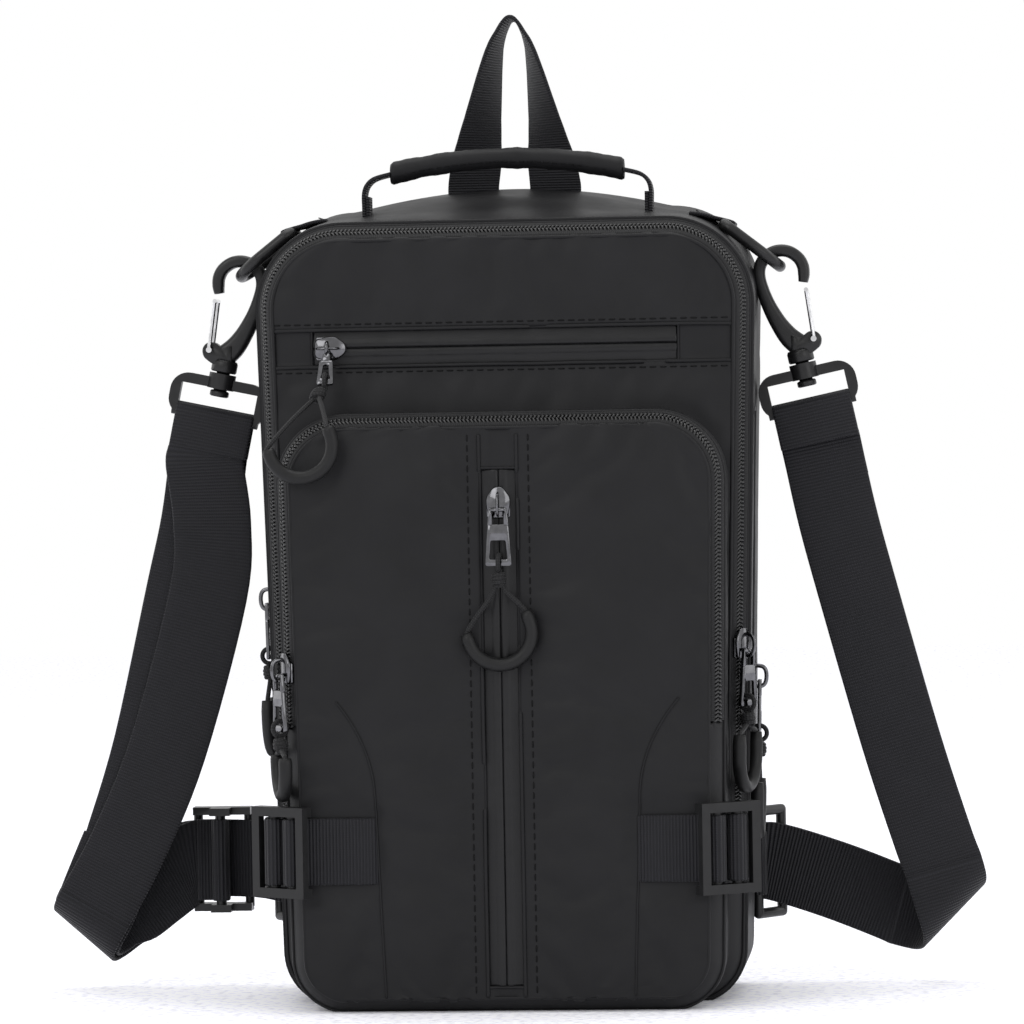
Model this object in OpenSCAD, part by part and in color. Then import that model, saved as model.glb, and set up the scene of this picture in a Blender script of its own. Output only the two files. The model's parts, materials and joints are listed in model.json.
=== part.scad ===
// Sling bag: a small chest and back bag with a front pocket, six zips, a top handle, a
// hanging loop, two side compression straps and one adjustable shoulder strap on snap hooks.
// The origin is the middle of the main compartment's base. X is the wearer's width, the
// front pocket faces -Y and Z is up.

/* [Bag body] */
// Height of the front edge of the main compartment
front_h = 296; // [290:1:300]
// Height of the back edge at its corners
back_h = 302; // [298:1:306]
// Extra rise of the arched back edge in the middle
back_rise = 8; // [4:1:10]
// Width of the main compartment near its top
top_w = 187; // [184:1:190]
// Width of the main compartment near its base
base_w = 174; // [170:1:178]
// Radius of the top corners
top_r = 32; // [30:1:34]
// Radius of the bottom corners
base_r = 20; // [18:1:22]
// Distance from the origin back to the back panel
back_y = 38; // [36:1:40]
// Thickness of the lined fabric walls
wall = 1.8; // [1.4:0.1:2]
// Thickness of the padded back
pad_t = 5; // [4:0.5:6]

/* [Front pocket] */
// Width of the pocket near its top
pocket_top_w = 168; // [164:1:170]
// Width of the pocket near its base
pocket_base_w = 162; // [158:1:164]
// Height of the pocket
pocket_h = 224; // [220:1:226]
// Depth of the pocket, from the front panel to the pocket face
pocket_d = 28; // [26:0.5:30]
// Height at which the pocket zip ends on each side
pocket_zip_end = 108; // [104:1:112]

/* [Zips] */
// Half the width of a straight zip's tape
tape_half = 7; // [6.5:0.5:7.5]
// Height of the horizontal zip
row_zip_z = 249.5; // [246:0.5:252]
// Length of the horizontal zip
row_zip_l = 138; // [130:1:142]
// Lower end of the vertical zip
col_zip_z0 = 10; // [8:1:16]
// Upper end of the vertical zip
col_zip_z1 = 203; // [198:1:206]
// Lower end of each side zip
side_zip_z0 = 80; // [78:1:84]
// Upper end of each side zip
side_zip_z1 = 225; // [215:1:230]

/* [Webbing and hardware] */
// Width of the shoulder strap
strap_w = 32; // [30:1:33]
// Thickness of the webbing
web_t = 1.5; // [1.3:0.1:1.6]
// Width of the compression straps
cinch_w = 25; // [22:1:26]
// Height of the compression straps' centre line
cinch_z = 61; // [60:1:62]
// Diameter of the wire in the strap rings
ring_d = 4; // [3.6:0.1:4.2]
// Height of the handle grip above the base
handle_z = 322; // [318:1:326]
// Height of the hanging loop's top
loop_top_z = 378; // [370:1:384]

/* [Hidden] */
$fn = 32;
arc_n = 8;
arch_n = 8;
mesh_gap = 0.3;

// Places along the depth
gusset_y = -20.5;
panel_y = -28.8;
pocket_y = panel_y - pocket_d;
pad_y = back_y + 2.2;
row_zip_x = -3;
side_zip_y = -2;

// A zip band runs round the edge between two outlines: [top width, base width, height,
// top radius, base radius, rise, [inset, y] of its outer edge, [inset, y] of its inner edge]
main_edge = [top_w, base_w, front_h, top_r, base_r, 0, [0.3, -20.8], [5.8, panel_y]];
pocket_edge = [pocket_top_w, pocket_base_w, pocket_h, 26, 20, 0,
    [0.3, pocket_y + 7.5], [5.3, pocket_y + 0.3]];

// Slider positions at rest, each measured up its own straight track
main_slider_z = 135;
row_slider_x = -66;
column_slider_z = 190;
pocket_slider_z = 129;
main_zip_end = 60;
main_half = 4.8;
pocket_half = 4.3;
tape_t = 0.7;
side_left_z = 154;
side_right_z = 122;

// Zip slider, tab and cord sizes
chain_w = 2.3;
chain_gap = 0.7;
chain_h = 1.3;
bridge_y = -5;
ring_y = -7.3;
tab_l = 19.75;
tab_half = 5;
knot_drop = 6.6;
grip_r = 12;
grip_wire = 2.6;
grip_leg = 8;
cord_d = 1.8;
row_tab_l = 15;
row_lift = 32;
row_bar = [row_slider_x, panel_y + 0.6 + ring_y - row_tab_l * sin(row_lift),
    row_zip_z - row_tab_l * cos(row_lift)];
row_knot = row_bar + knot_drop * unit([-0.35, -0.55, -0.76]);
row_grip = [-73, pocket_y - 8.4, 213];
row_leg = 3;
grip_tilt = 20;

// Strap hardware
swing_x = 104;
swing_y = 8;
swing_z = 278.5;
hang_tilt = 12;
eye_v = 41.9;
hang_v = 44.6;
loop_w = 30;
hook_t = 7;
hinge_x = 83.5;
hinge_z = 294.5;
d_wire = 4.5;
d_tilt = atan((hinge_z - swing_z) / (swing_x - hinge_x));
d_reach = norm([swing_x - hinge_x, hinge_z - swing_z]);
strap_back_y = 46;
glide_x = -121;
glide_z = 50;
lower_tab_x = 90.5;
lower_tab_y = 39;
lower_ring_z = 47;
ring_angle = 54;
cinch_x = 83;
cinch_y = -57.5;
cinch_angle = 35;
bar_gap = 9;

// Handle: place and height of its roots, width of its webbing and radius of its arched grip
root_x = 54;
root_y = 6;
root_z = 306;
leg_w = 11;
grip_arc_r = 200;
grip_half = asin(45 / grip_arc_r);
// Length of a hook's gate, and offset of the two layers of a strap end
gate_l = 19;
fold_y = 2.9;

// Route of the shoulder strap, with the left-hand places written as if on the right
right_edge = unit([-0.7, 0, -0.715]);
left_edge = unit([-0.751, 0, -0.66]);
right_drop = [[118.6, 8, 210.6], [124, 10, 184], [131, 13, 156], [147, 20, 96], [158.5, 26, 58]];
left_drop = [[118.6, 5.1, 210.6], [119.5, 5.8, 206], [117.5, 9, 184], [120, 13, 156],
    [138, 20, 96], [155, 25.5, 58]];
return_drop = [[118.6, 10.9, 210.6], [123, 14, 184], [130, 17, 156], [145, 23, 96],
    [158, 28, 58]];
right_turn = turn([165, 28, 38], unit([0.28, 0, -0.96]), right_edge, 9);
left_turn = turn([171, 28, 30], unit([0.5, 0, -0.87]), left_edge, 9);
return_turn = turn([171, 30.8, 30], unit([0.5, 0, -0.87]), left_edge, 6.2);
behind = [[140, strap_back_y, 31.5], [120, strap_back_y, 39.4], [98, strap_back_y + 0.6, 46.4],
    [88, strap_back_y + 1, 47], [50, strap_back_y + 3.5, 47], [-50, strap_back_y + 3.5, 47]];
left_run = [lie(156.5, strap_back_y, 33.4, 35), lie(149.5, strap_back_y, 38.9, 36),
    lie(141, strap_back_y, 45.8, 27), lie(134, strap_back_y, glide_z, 3),
    lie(109, strap_back_y, glide_z, 0), lie(97, strap_back_y, 47.2, 8), lie(88, strap_back_y, 47, 0)];
return_run = [lie(157, 43.2, 32.4, 35), lie(148, 43.2, 39, 36), lie(139, 43.2, 45.4, 27),
    lie(130.6, 43.2, glide_z, 0)];

function mix(a, b, t) = a + (b - a) * t;
function unit(v) = v / norm(v);

// Outline of a tapered panel with round corners, drawn in inset lines
function corner(cx, cz, r, a0, a1) = [for (i = [0:arc_n])
    let (a = mix(a0, a1, i / arc_n)) [cx + r * cos(a), cz + r * sin(a)]];
function arch(hw, z, rise) = [for (i = [1:arch_n - 1])
    let (t = 1 - 2 * i / arch_n) [hw * t, z + rise * (1 - t * t)]];
function outline(wt, wb, h, rt, rb, rise, inset) =
    let (ht = wt / 2 - rt, hb = wb / 2 - rb) concat(
    corner(hb, rb, rb - inset, -90, 0), corner(ht, h - rt, rt - inset, 0, 90),
    arch(ht, h - inset, rise), corner(-ht, h - rt, rt - inset, 90, 180),
    corner(-hb, rb, rb - inset, 180, 270));
function at_y(points, y) = [for (p = points) [p[0], y, p[1]]];
function body_ring(t, inset) = at_y(outline(top_w, base_w, mix(front_h, back_h, t), top_r,
    base_r, back_rise * t, inset), mix(gusset_y, back_y, t));
function edge_ring(e, inset, y) = at_y(outline(e[0], e[1], e[2], e[3], e[4], e[5], inset), y);

// Half width of an edge's outline at a height on its straight side, and the side's lean
function side_x(e, z) = mix(e[1] / 2, e[0] / 2, (z - e[4]) / (e[2] - e[3] - e[4]));
function lean(e) = atan((e[0] - e[1]) / 2 / (e[2] - e[3] - e[4]));
// Angle that a zip band faces away from the front
function band_angle(e) = atan2(e[6][1] - e[7][1], e[7][0] - e[6][0]);
function band_mid(e) = (e[6] + e[7]) / 2;
// Ring at a distance across the band from its middle and a depth behind its face
function band_ring(e, s, depth) = let (a = band_angle(e), m = band_mid(e))
    edge_ring(e, m[0] - s * cos(a) + depth * sin(a), m[1] + s * sin(a) + depth * cos(a));

// A closed solid through rings of points, with the last ring joined to the first
module band(rings) {
    n = len(rings[0]);
    m = len(rings);
    polyhedron([for (r = rings) each r],
        [for (j = [0:m - 1], i = [0:n - 1], half = [0, 1])
            let (k = (j + 1) % m, l = (i + 1) % n)
            half == 0 ? [j * n + i, k * n + l, j * n + l] : [j * n + i, k * n + i, k * n + l]]);
}

// A strip of a zip band, from s0 to s1 across it and from depth d0 to d1
module band_strip(e, s0, s1, d0, d1)
    band([band_ring(e, s0, d0), band_ring(e, s0, d1), band_ring(e, s1, d1),
        band_ring(e, s1, d0)]);

// A closed solid between two rings of points
module loft(a, b) {
    n = len(a);
    polyhedron(concat(a, b), concat([[for (i = [n - 1:-1:0]) i], [for (i = [0:n - 1]) n + i]],
        [for (i = [0:n - 1], half = [0, 1]) let (j = (i + 1) % n)
            half == 0 ? [n + i, j, n + j] : [n + i, i, j]]));
}

// A flat panel from y0 back to y1
module slab(points, y0, y1)
    translate([0, y1, 0]) rotate([90, 0, 0]) linear_extrude(y1 - y0) polygon(points);

module block(x0, x1, y0, y1, z0, z1)
    translate([x0, y0, z0]) cube([x1 - x0, y1 - y0, z1 - z0]);

module above(z) intersection() { children(); block(-300, 300, -300, 300, z, 500); }
module below(z) intersection() { children(); block(-300, 300, -300, 300, -1, z); }

// A strap of width w through frames [middle, direction along, direction across]
module ribbon(frames, w) {
    n = len(frames);
    points = [for (f = frames) let (across = unit(f[2]) * w / 2,
        thick = unit(cross(f[1], f[2])) * web_t / 2)
        each [f[0] - across - thick, f[0] + across - thick, f[0] + across + thick,
            f[0] - across + thick]];
    polyhedron(points, concat([[1, 2, 3], [0, 1, 3]],
        [for (j = [0:n - 2], i = [0:3], half = [0, 1]) let (a = 4 * j + i, b = 4 * j + (i + 1) % 4)
            i == 2 ? (half == 0 ? [b + 4, b, a + 4] : [b, a, a + 4])
            : (half == 0 ? [b + 4, b, a] : [a + 4, b + 4, a])],
        [[4 * n - 2, 4 * n - 3, 4 * n - 4], [4 * n - 1, 4 * n - 2, 4 * n - 4]]));
}
function along(p, i) = p[min(i + 1, len(p) - 1)] - p[max(i - 1, 0)];
function across(t) = [-t[2], 0, t[0]];
// Frames for points where the strap faces the front (sign 1) or the back (sign -1)
function route(p, sign) = [for (i = [0:len(p) - 1]) let (t = along(p, i))
    [p[i], t, sign * across(t)]];
// Frames of a turn to the back round an edge that lies along direction a, of radius r
function turn(p, d, a, r) = let (c = d * a, s = sqrt(1 - c * c), m = (d - c * a) / s,
    back = [0, 1, 0]) [for (q = [0:22.5:180]) let (arc = r * q * PI / 180,
    t = c * a + s * (cos(q) * m + sin(q) * back), n = sin(q) * m - cos(q) * back)
    [p + a * arc * c / s + m * r * sin(q) + back * r * (1 - cos(q)), t, cross(n, t)]];
// Frame of a strap behind the bag that runs inward and rises at an angle
function lie(x, y, z, rise) = [[x, y, z], [-cos(rise), 0, sin(rise)], [sin(rise), 0, cos(rise)]];
function flip_x(frames) = [for (i = [len(frames) - 1:-1:0]) let (f = frames[i])
    [[-f[0][0], f[0][1], f[0][2]], [f[1][0], -f[1][1], -f[1][2]], [-f[2][0], f[2][1], f[2][2]]]];

// Bag body
module body_block() loft(body_ring(0, 0), body_ring(1, 0));
// Round top corner of the body, as a rod that follows the rising back
module body_corner() {
    t = (swing_y - gusset_y) / (back_y - gusset_y);
    translate([top_w / 2 - top_r, swing_y, mix(front_h, back_h, t) - top_r])
        rotate([atan((back_h - front_h) / (back_y - gusset_y)) - 90, 0, 0])
        cylinder(h = 40, r = top_r, center = true);
}
module gusset() color("#2b2b2f") difference() {
    above(7) band([body_ring(0, 0), body_ring(0, wall), body_ring(1, wall), body_ring(1, 0)]);
    for (side = [-1, 1])
        block(min(side * 80, side * 100), max(side * 80, side * 100), side_zip_y - tape_half,
            side_zip_y + tape_half, side_zip_z0, side_zip_z1);
}

module base_panel() color("#232326") {
    below(7) band([body_ring(0, 0), body_ring(0, wall), body_ring(1, wall), body_ring(1, 0)]);
    below(main_zip_end) band_strip(main_edge, -main_half, main_half - 0.1, 0, tape_t);
    below(7) band_strip(main_edge, -main_half, main_half + 0.8, 0, tape_t);
}

module back_panel() color("#242428")
    slab(outline(top_w, base_w, back_h, top_r, base_r, back_rise, 0), back_y, pad_y);

module back_pad() color("#1d1d20")
    slab(outline(top_w, base_w, back_h, top_r, base_r, back_rise, 12), pad_y, pad_y + pad_t);

module back_stiffener() color("#d8d8d2")
    slab(outline(top_w, base_w, back_h, top_r, base_r, 0, 8), back_y - 1.4, back_y);

module divider_sleeve() color("#55555c") translate([0, 0, 2])
    difference() {
        slab(outline(top_w - 12, base_w - 12, 220, 14, 14, 0, 0), back_y - 14, back_y - 1.4);
        translate([0, 0, 2]) slab(outline(top_w - 18, base_w - 18, 260, 14, 14, 0, 0),
            back_y - 12, back_y - 3);
    }

module front_panel() color("#2b2b2f") difference() {
    slab(outline(top_w, base_w, front_h, top_r, base_r, 0, main_edge[7][0] + 0.6), panel_y,
        panel_y + 2);
    block(row_zip_x - row_zip_l / 2, row_zip_x + row_zip_l / 2, panel_y - 1, panel_y + 3,
        row_zip_z - tape_half, row_zip_z + tape_half);
}

module pocket_gusset() color("#2b2b2f") {
    e = pocket_edge;
    band([edge_ring(e, 0, e[6][1] + 0.3), edge_ring(e, wall, e[6][1] + 0.3),
        edge_ring(e, wall, panel_y), edge_ring(e, 0, panel_y)]);
}

module pocket_face() color("#2e2e32") {
    e = pocket_edge;
    difference() {
        slab(outline(e[0], e[1], e[2], e[3], e[4], e[5], e[7][0] + 0.6), pocket_y, pocket_y + 2);
        block(-tape_half, tape_half, pocket_y - 1, pocket_y + 3, col_zip_z0, col_zip_z1);
    }
    below(pocket_zip_end) band_strip(e, -pocket_half, pocket_half - 0.8, 0, wall);
}

// Straight zips: the track runs along Z and faces -Y
module straight_tape(l) for (side = [-1, 1])
    block(min(side * chain_gap, side * tape_half), max(side * chain_gap, side * tape_half),
        0, tape_t, 0, l);
module straight_chain(l) for (side = [-1, 1])
    block(min(side * chain_gap, side * chain_w), max(side * chain_gap, side * chain_w),
        -chain_h, 0, 0, l);
module straight_zip(l) { straight_tape(l); straight_chain(l); }

module edge_tape(e, half) {
    band_strip(e, -half, -chain_gap, 0, tape_t);
    band_strip(e, chain_gap, half - 0.1, 0, tape_t);
}
module edge_chain(e) for (side = [-1, 1])
    band_strip(e, min(side * chain_gap, side * chain_w), max(side * chain_gap, side * chain_w),
        -chain_h, 0);

module main_zip_tape() color("#26262a") above(main_zip_end) edge_tape(main_edge, main_half);
module main_zip_coil() color("#17171a") above(main_zip_end) edge_chain(main_edge);
module pocket_zip_tape() color("#26262a") above(pocket_zip_end)
    edge_tape(pocket_edge, pocket_half);
module pocket_zip_coil() color("#17171a") above(pocket_zip_end) edge_chain(pocket_edge);
module row_zip() color("#26262a")
    translate([row_zip_x - row_zip_l / 2, panel_y + 0.6, row_zip_z]) rotate([0, 90, 0])
        straight_zip(row_zip_l);
module column_zip() color("#26262a")
    translate([0, pocket_y + 0.6, col_zip_z0]) straight_zip(col_zip_z1 - col_zip_z0);
module side_zips() color("#26262a") for (side = [0, 1]) mirror([side, 0, 0])
    on_side(side_zip_z0) straight_zip(side_zip_z1 - side_zip_z0);

// Frames of the zip tracks, at a slider's place
module on_side(z) translate([side_x(main_edge, z) - 0.6, side_zip_y, z])
    rotate([0, lean(main_edge), 0]) rotate([0, 0, 90]) children();
module on_edge(e, z) translate([side_x(e, z) - band_mid(e)[0], band_mid(e)[1], z])
    rotate([0, lean(e), 0]) rotate([0, 0, band_angle(e)]) children();
module on_row() translate([row_slider_x, panel_y + 0.6, row_zip_z]) children();
module on_column() translate([0, pocket_y + 0.6, column_slider_z]) children();

// Zip slider: two plates joined by a web between the coils, side flanges and a bridge
module zip_slider() color("#4a4a50") {
    block(-4.4, 4.4, -3, -1.6, -5.2, 6.4);
    for (side = [-1, 1]) translate([side * 3.9, 0, 0]) block(-0.5, 0.5, -1.6, -mesh_gap, -5, 3);
    block(-0.35, 0.35, -1.7, 1.1, 1.5, 4.5);
    block(-2.2, 2.2, 1, 2, -4, 5);
    for (end = [-1, 1]) translate([0, 0, end * 3.4]) block(-0.8, 0.8, -7, -2.9, -0.4, 0.4);
    block(-0.8, 0.8, -7.8, -6.8, -3.8, 3.8);
}

// Pull tab that hangs from its hinge at the origin, by a cross bar or by a ring
module pull_tab(ring, l) color("#5a5a60") {
    if (ring) {
        rotate([0, 90, 0]) rotate_extrude($fn = 24) translate([2.2, 0]) circle(0.75, $fn = 16);
        block(-1.2, 1.2, -0.7, 0.7, -6, -2.6);
    } else {
        rotate([0, 90, 0]) cylinder(h = 6.4, r = 0.8, center = true);
        for (side = [-1, 1]) translate([side * 2.7, 0, 0]) block(-0.5, 0.5, -0.7, 0.7, -6, 0);
    }
    difference() {
        block(-tab_half, tab_half, -0.7, 0.7, -l - 1.25, -5.5);
        block(2 - tab_half, tab_half - 2, -2, 2, -l + 1.25, -l + min(8.25, l - 7.5));
    }
}

// Cord pull that hangs from the tab's lower bar: a loop, a knot, two legs and a U grip, which
// may be twisted about the cord and tilted so that one end is higher
function tilted_end(side, leg, tilt) = [side * grip_r * cos(tilt) - leg * sin(tilt), 0,
    side * grip_r * sin(tilt) + leg * cos(tilt)];
module cord_pull(drop, twist, leg, tilt = 0) color("#151517") {
    middle = [0, 0, -knot_drop - drop - leg];
    rotate([0, 90, 0]) rotate_extrude($fn = 24) translate([2.9, 0]) circle(cord_d / 2, $fn = 16);
    translate([0, 0, -knot_drop]) sphere(3.2);
    rotate([0, 0, twist]) {
        for (side = [-1, 1])
            rod([0, 0, -knot_drop], middle + tilted_end(side, leg, tilt), cord_d / 2);
        translate(middle) rotate([0, -tilt, 0]) u_grip(leg);
    }
}
module u_grip(leg) {
    for (side = [-1, 1]) translate([side * grip_r, 0, 0]) cylinder(h = leg, r = grip_wire);
    rotate([90, 0, 0]) rotate([0, 0, 180])
        rotate_extrude(angle = 180) translate([grip_r, 0]) circle(grip_wire, $fn = 20);
}
module rod(a, b, r) let (d = b - a) translate(a)
    rotate([0, acos(d[2] / norm(d)), atan2(d[1], d[0])]) cylinder(h = norm(d), r = r);
module tab_bar() translate([0, bridge_y, -2]) children();
module cord_bar() tab_bar() translate([0, 0, -tab_l]) children();

module main_slider() on_edge(main_edge, main_slider_z) zip_slider();
module main_tab() on_edge(main_edge, main_slider_z) tab_bar() pull_tab(false, tab_l);
module main_pull() on_edge(main_edge, main_slider_z) cord_bar() cord_pull(5, 22, grip_leg);
module row_slider() on_row() rotate([0, 90, 0]) zip_slider();
module row_tab() on_row() translate([0, ring_y, 0]) rotate([-row_lift, 0, 0])
    pull_tab(true, row_tab_l);
// The pull of the horizontal zip lies over the pocket's top edge, with its grip in front
module row_pull() color("#151517") {
    translate(row_bar) rotate([0, 90, 0]) rotate_extrude($fn = 24) translate([2.9, 0])
        circle(cord_d / 2, $fn = 16);
    translate(row_knot) sphere(3.2);
    for (side = [-1, 1]) rod(row_knot, row_grip + tilted_end(side, row_leg, grip_tilt), cord_d / 2);
    translate(row_grip) rotate([0, -grip_tilt, 0]) u_grip(row_leg);
}
module column_slider() on_column() zip_slider();
module column_tab() on_column() tab_bar() pull_tab(false, tab_l);
module column_pull() on_column() cord_bar() cord_pull(15.5, 0, 4, grip_tilt);
module pocket_slider() mirror([1, 0, 0]) on_edge(pocket_edge, pocket_slider_z) zip_slider();
module pocket_tab() mirror([1, 0, 0]) on_edge(pocket_edge, pocket_slider_z) tab_bar()
    pull_tab(false, tab_l);
module pocket_pull() mirror([1, 0, 0]) on_edge(pocket_edge, pocket_slider_z) cord_bar()
    cord_pull(4, 20, 2.5);
module side_slider_left() mirror([1, 0, 0]) on_side(side_left_z) zip_slider();
module side_tab_left() mirror([1, 0, 0]) on_side(side_left_z) tab_bar() pull_tab(false, tab_l);
module side_pull_left() mirror([1, 0, 0]) on_side(side_left_z) cord_bar() cord_pull(10, 0, grip_leg);
module side_slider_right() on_side(side_right_z) zip_slider();
module side_tab_right() on_side(side_right_z) tab_bar() pull_tab(false, tab_l);
module side_pull_right() on_side(side_right_z) cord_bar() cord_pull(11.5, 0, grip_leg);

// Handle: two sewn roots, a webbing leg lapped on each root, and a padded grip
module handle_roots() color("#1b1b1e") difference() {
    for (side = [-1, 1]) translate([side * (root_x - 1.2), root_y, 0]) {
        block(-0.75, 0.75, -leg_w / 2, leg_w / 2, 299.9, root_z);
        translate([-0.75, 0, root_z]) rotate([0, 90, 0]) cylinder(h = 1.5, r = leg_w / 2);
    }
    body_block();
}
module handle_webbing() color("#1b1b1e") for (side = [0, 1]) mirror([side, 0, 0]) {
    top = [46, root_y, handle_z - 6];
    translate([root_x + 0.3, root_y, root_z]) rotate([0, 90, 0])
        cylinder(h = web_t, r = leg_w / 2);
    ribbon([[[root_x + 1.05, root_y, root_z], [0, 0, 1], [0, 1, 0]],
        [[root_x + 1.05, root_y, 311], [-0.1, 0, 1], [0, 1, 0]],
        [[root_x - 0.7, root_y, 314], [-1, 0, 1], [0, 1, 0]],
        [top, [-1, 0, 0.1], [0, 1, 0]]], leg_w);
}
module handle_grip() color("#232327") translate([0, root_y, handle_z - grip_arc_r])
    rotate([90, 0, 0]) rotate([0, 0, 90 - grip_half]) rotate_extrude(angle = 2 * grip_half,
        $fn = 180) translate([grip_arc_r, 0]) circle(4.6);

// Hanging loop: webbing that rises flat from the back edge and turns edge-on at its top
module hanging_loop() color("#1b1b1e") {
    y = back_y - 1;
    legs = [[16, 313, 1, 0], [13.5, 330, 0.75, 0.66], [10.6, 347, 0.53, 0.85],
        [8, 362, 0.3, 0.95], [5, loop_top_z - 5, 0.12, 1]];
    up = [for (p = legs) [[-p[0], y, p[1]], [0.2, 0, 1], [p[2], p[3], 0]]];
    top = [[[0, y, loop_top_z], [1, 0, 0], [0, 1, 0]]];
    down = [for (i = [len(legs) - 1:-1:0]) let (p = legs[i])
        [[p[0], y, p[1]], [0.2, 0, -1], [-p[2], p[3], 0]]];
    ribbon(concat(up, top, down), 20);
}

// Webbing tabs along the top corners, each ending in a fold round a D-ring's straight bar
module corner_tabs() color("#1b1b1e") for (side = [0, 1]) mirror([side, 0, 0]) {
    difference() {
        union() {
            translate([hinge_x, swing_y, hinge_z]) rotate([90, 0, 0])
                cylinder(h = 16, r = d_wire / 2 + 1.4, center = true);
            translate([hinge_x - 3, swing_y, hinge_z - 0.5]) rotate([0, 35, 0])
                block(-8, 0.5, -8, 8, -1.8, 1.8);
        }
        translate([hinge_x, swing_y, hinge_z]) rotate([90, 0, 0])
            cylinder(h = 20, r = d_wire / 2 + 0.1, center = true);
        body_corner();
    }
}

module d_ring() color("#101012") translate([hinge_x, swing_y, hinge_z])
    rotate([0, d_tilt, 0]) {
        r = 12;
        bend = 3.5;
        rotate([90, 0, 0]) cylinder(h = 2 * (r - bend), r = d_wire / 2, center = true);
        for (side = [0, 1]) mirror([0, side, 0]) {
            translate([bend, r - bend, 0]) rotate([0, 0, 90]) rotate_extrude(angle = 90)
                translate([bend, 0]) circle(d_wire / 2);
            translate([bend, r, 0]) rotate([0, 90, 0])
                cylinder(h = d_reach - r - bend, r = d_wire / 2);
        }
        translate([d_reach - r, 0, 0]) rotate([0, 0, -90]) rotate_extrude(angle = 180)
            translate([r, 0]) circle(d_wire / 2);
    }
module d_ring_left() mirror([1, 0, 0]) d_ring();
module d_ring_right() d_ring();

// Snap hook frame: the strap loop's centre at the origin, the hook's axis along Z
module hanging() translate([swing_x, swing_y, swing_z]) rotate([0, -hang_tilt, 0])
    translate([0, 0, -hang_v]) children();

module strap_loop() color("#101012") hanging() difference() {
    union() {
        translate([0, 0, -4]) rotate([90, 0, 0]) linear_extrude(ring_d, center = true)
            difference() {
                offset(7) square([loop_w + 2 * ring_d - 14, 3], center = true);
                translate([-loop_w / 2, -14]) square([loop_w, 18.5]);
            }
        translate([0, 0, 0.3]) cylinder(h = 6, r = 5.2);
        translate([-loop_w / 2 - 2, 0, -10.5]) rotate([0, 90, 0])
            cylinder(h = loop_w + 4, r = ring_d / 2 - 0.05);
    }
    translate([0, 0, -1]) cylinder(h = 9, r = 2.7);
}
module strap_loop_left() mirror([1, 0, 0]) strap_loop();
module strap_loop_right() strap_loop();

// Hook body: stem and head in the loop's boss, a collar, a broad spine and a round eye
module snap_hook() color("#121214") hanging() {
    translate([0, 0, -2.7]) cylinder(h = 10, r = 2.6);
    translate([0, 0, -2.7]) cylinder(h = 2.4, r = 3.7);
    translate([0, 0, 6.6]) cylinder(h = 5, r = 5);
    difference() {
        rotate([90, 0, 0]) linear_extrude(hook_t, center = true) {
            difference() {
                translate([0, eye_v]) circle(10);
                translate([0, eye_v]) circle(6.2);
                translate([0, eye_v - 22]) square([30, 36], center = true);
            }
            translate([8.1, eye_v - 3]) circle(1.9);
            translate([6.2, eye_v - 4.2]) square([3.8, 4.3]);
            polygon([[-10, eye_v], [-6.2, eye_v], [-5, 26], [-1, 16], [4, 13.4], [4, 10],
                [-4, 10], [-9, 22]]);
            translate([6.5, 14.5]) circle(3.2);
            polygon([[0, 10], [0, 16], [6, 17.4], [8, 11.8], [4, 9]]);
        }
        translate([6.5, 0, 14.5]) rotate([90, 0, 0]) cylinder(h = 20, r = 1.2, center = true);
    }
}
module snap_hook_left() mirror([1, 0, 0]) snap_hook();
module snap_hook_right() snap_hook();

module hook_gate() color("#c8c8cc") hanging() translate([6.5, 0, 14.5]) {
    rotate([90, 0, 0]) cylinder(h = 11, r = 1.1, center = true);
    for (side = [-1, 1]) translate([0, side * 4.7, 0]) rotate([0, 4, 0])
        cylinder(h = gate_l, r = 0.8);
    rotate([0, 4, 0]) translate([0, 0, gate_l]) rotate([90, 0, 0])
        cylinder(h = 11, r = 0.8, center = true);
}
module hook_gate_left() mirror([1, 0, 0]) hook_gate();
module hook_gate_right() hook_gate();

// Fold of the shoulder strap round a loop's lower bar; its two layers lie at y = +-fold_y
module strap_end() color("#18181b") hanging() translate([0, 0, -10.5]) {
    w = loop_w - 1;
    difference() {
        rotate([0, 90, 0]) cylinder(h = w, r = ring_d / 2 + 0.1 + web_t, center = true);
        rotate([0, 90, 0]) cylinder(h = w + 2, r = ring_d / 2 + 0.1, center = true);
        block(-w, w, -1.3, 1.3, -9, 0);
    }
    for (side = [-1, 1]) translate([0, side * fold_y, 0])
        block(-w / 2, w / 2, -web_t / 2, web_t / 2, -12.4, -1);
}
module strap_end_left() mirror([1, 0, 0]) strap_end();
module strap_end_right() strap_end();

// Shoulder strap: right end down to its turn, back behind the bag, out to the left turn and
// up to the left loop. Left-hand places are written as if on the right and then flipped.
module shoulder_strap() color("#18181b") ribbon(concat(route(right_drop, 1), right_turn,
    route(behind, -1), flip_x(concat(route(left_drop, 1), left_turn, left_run))),
    strap_w);
module strap_return() color("#18181b")
    ribbon(flip_x(concat(route(return_drop, 1), return_turn, return_run)), strap_w);

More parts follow.
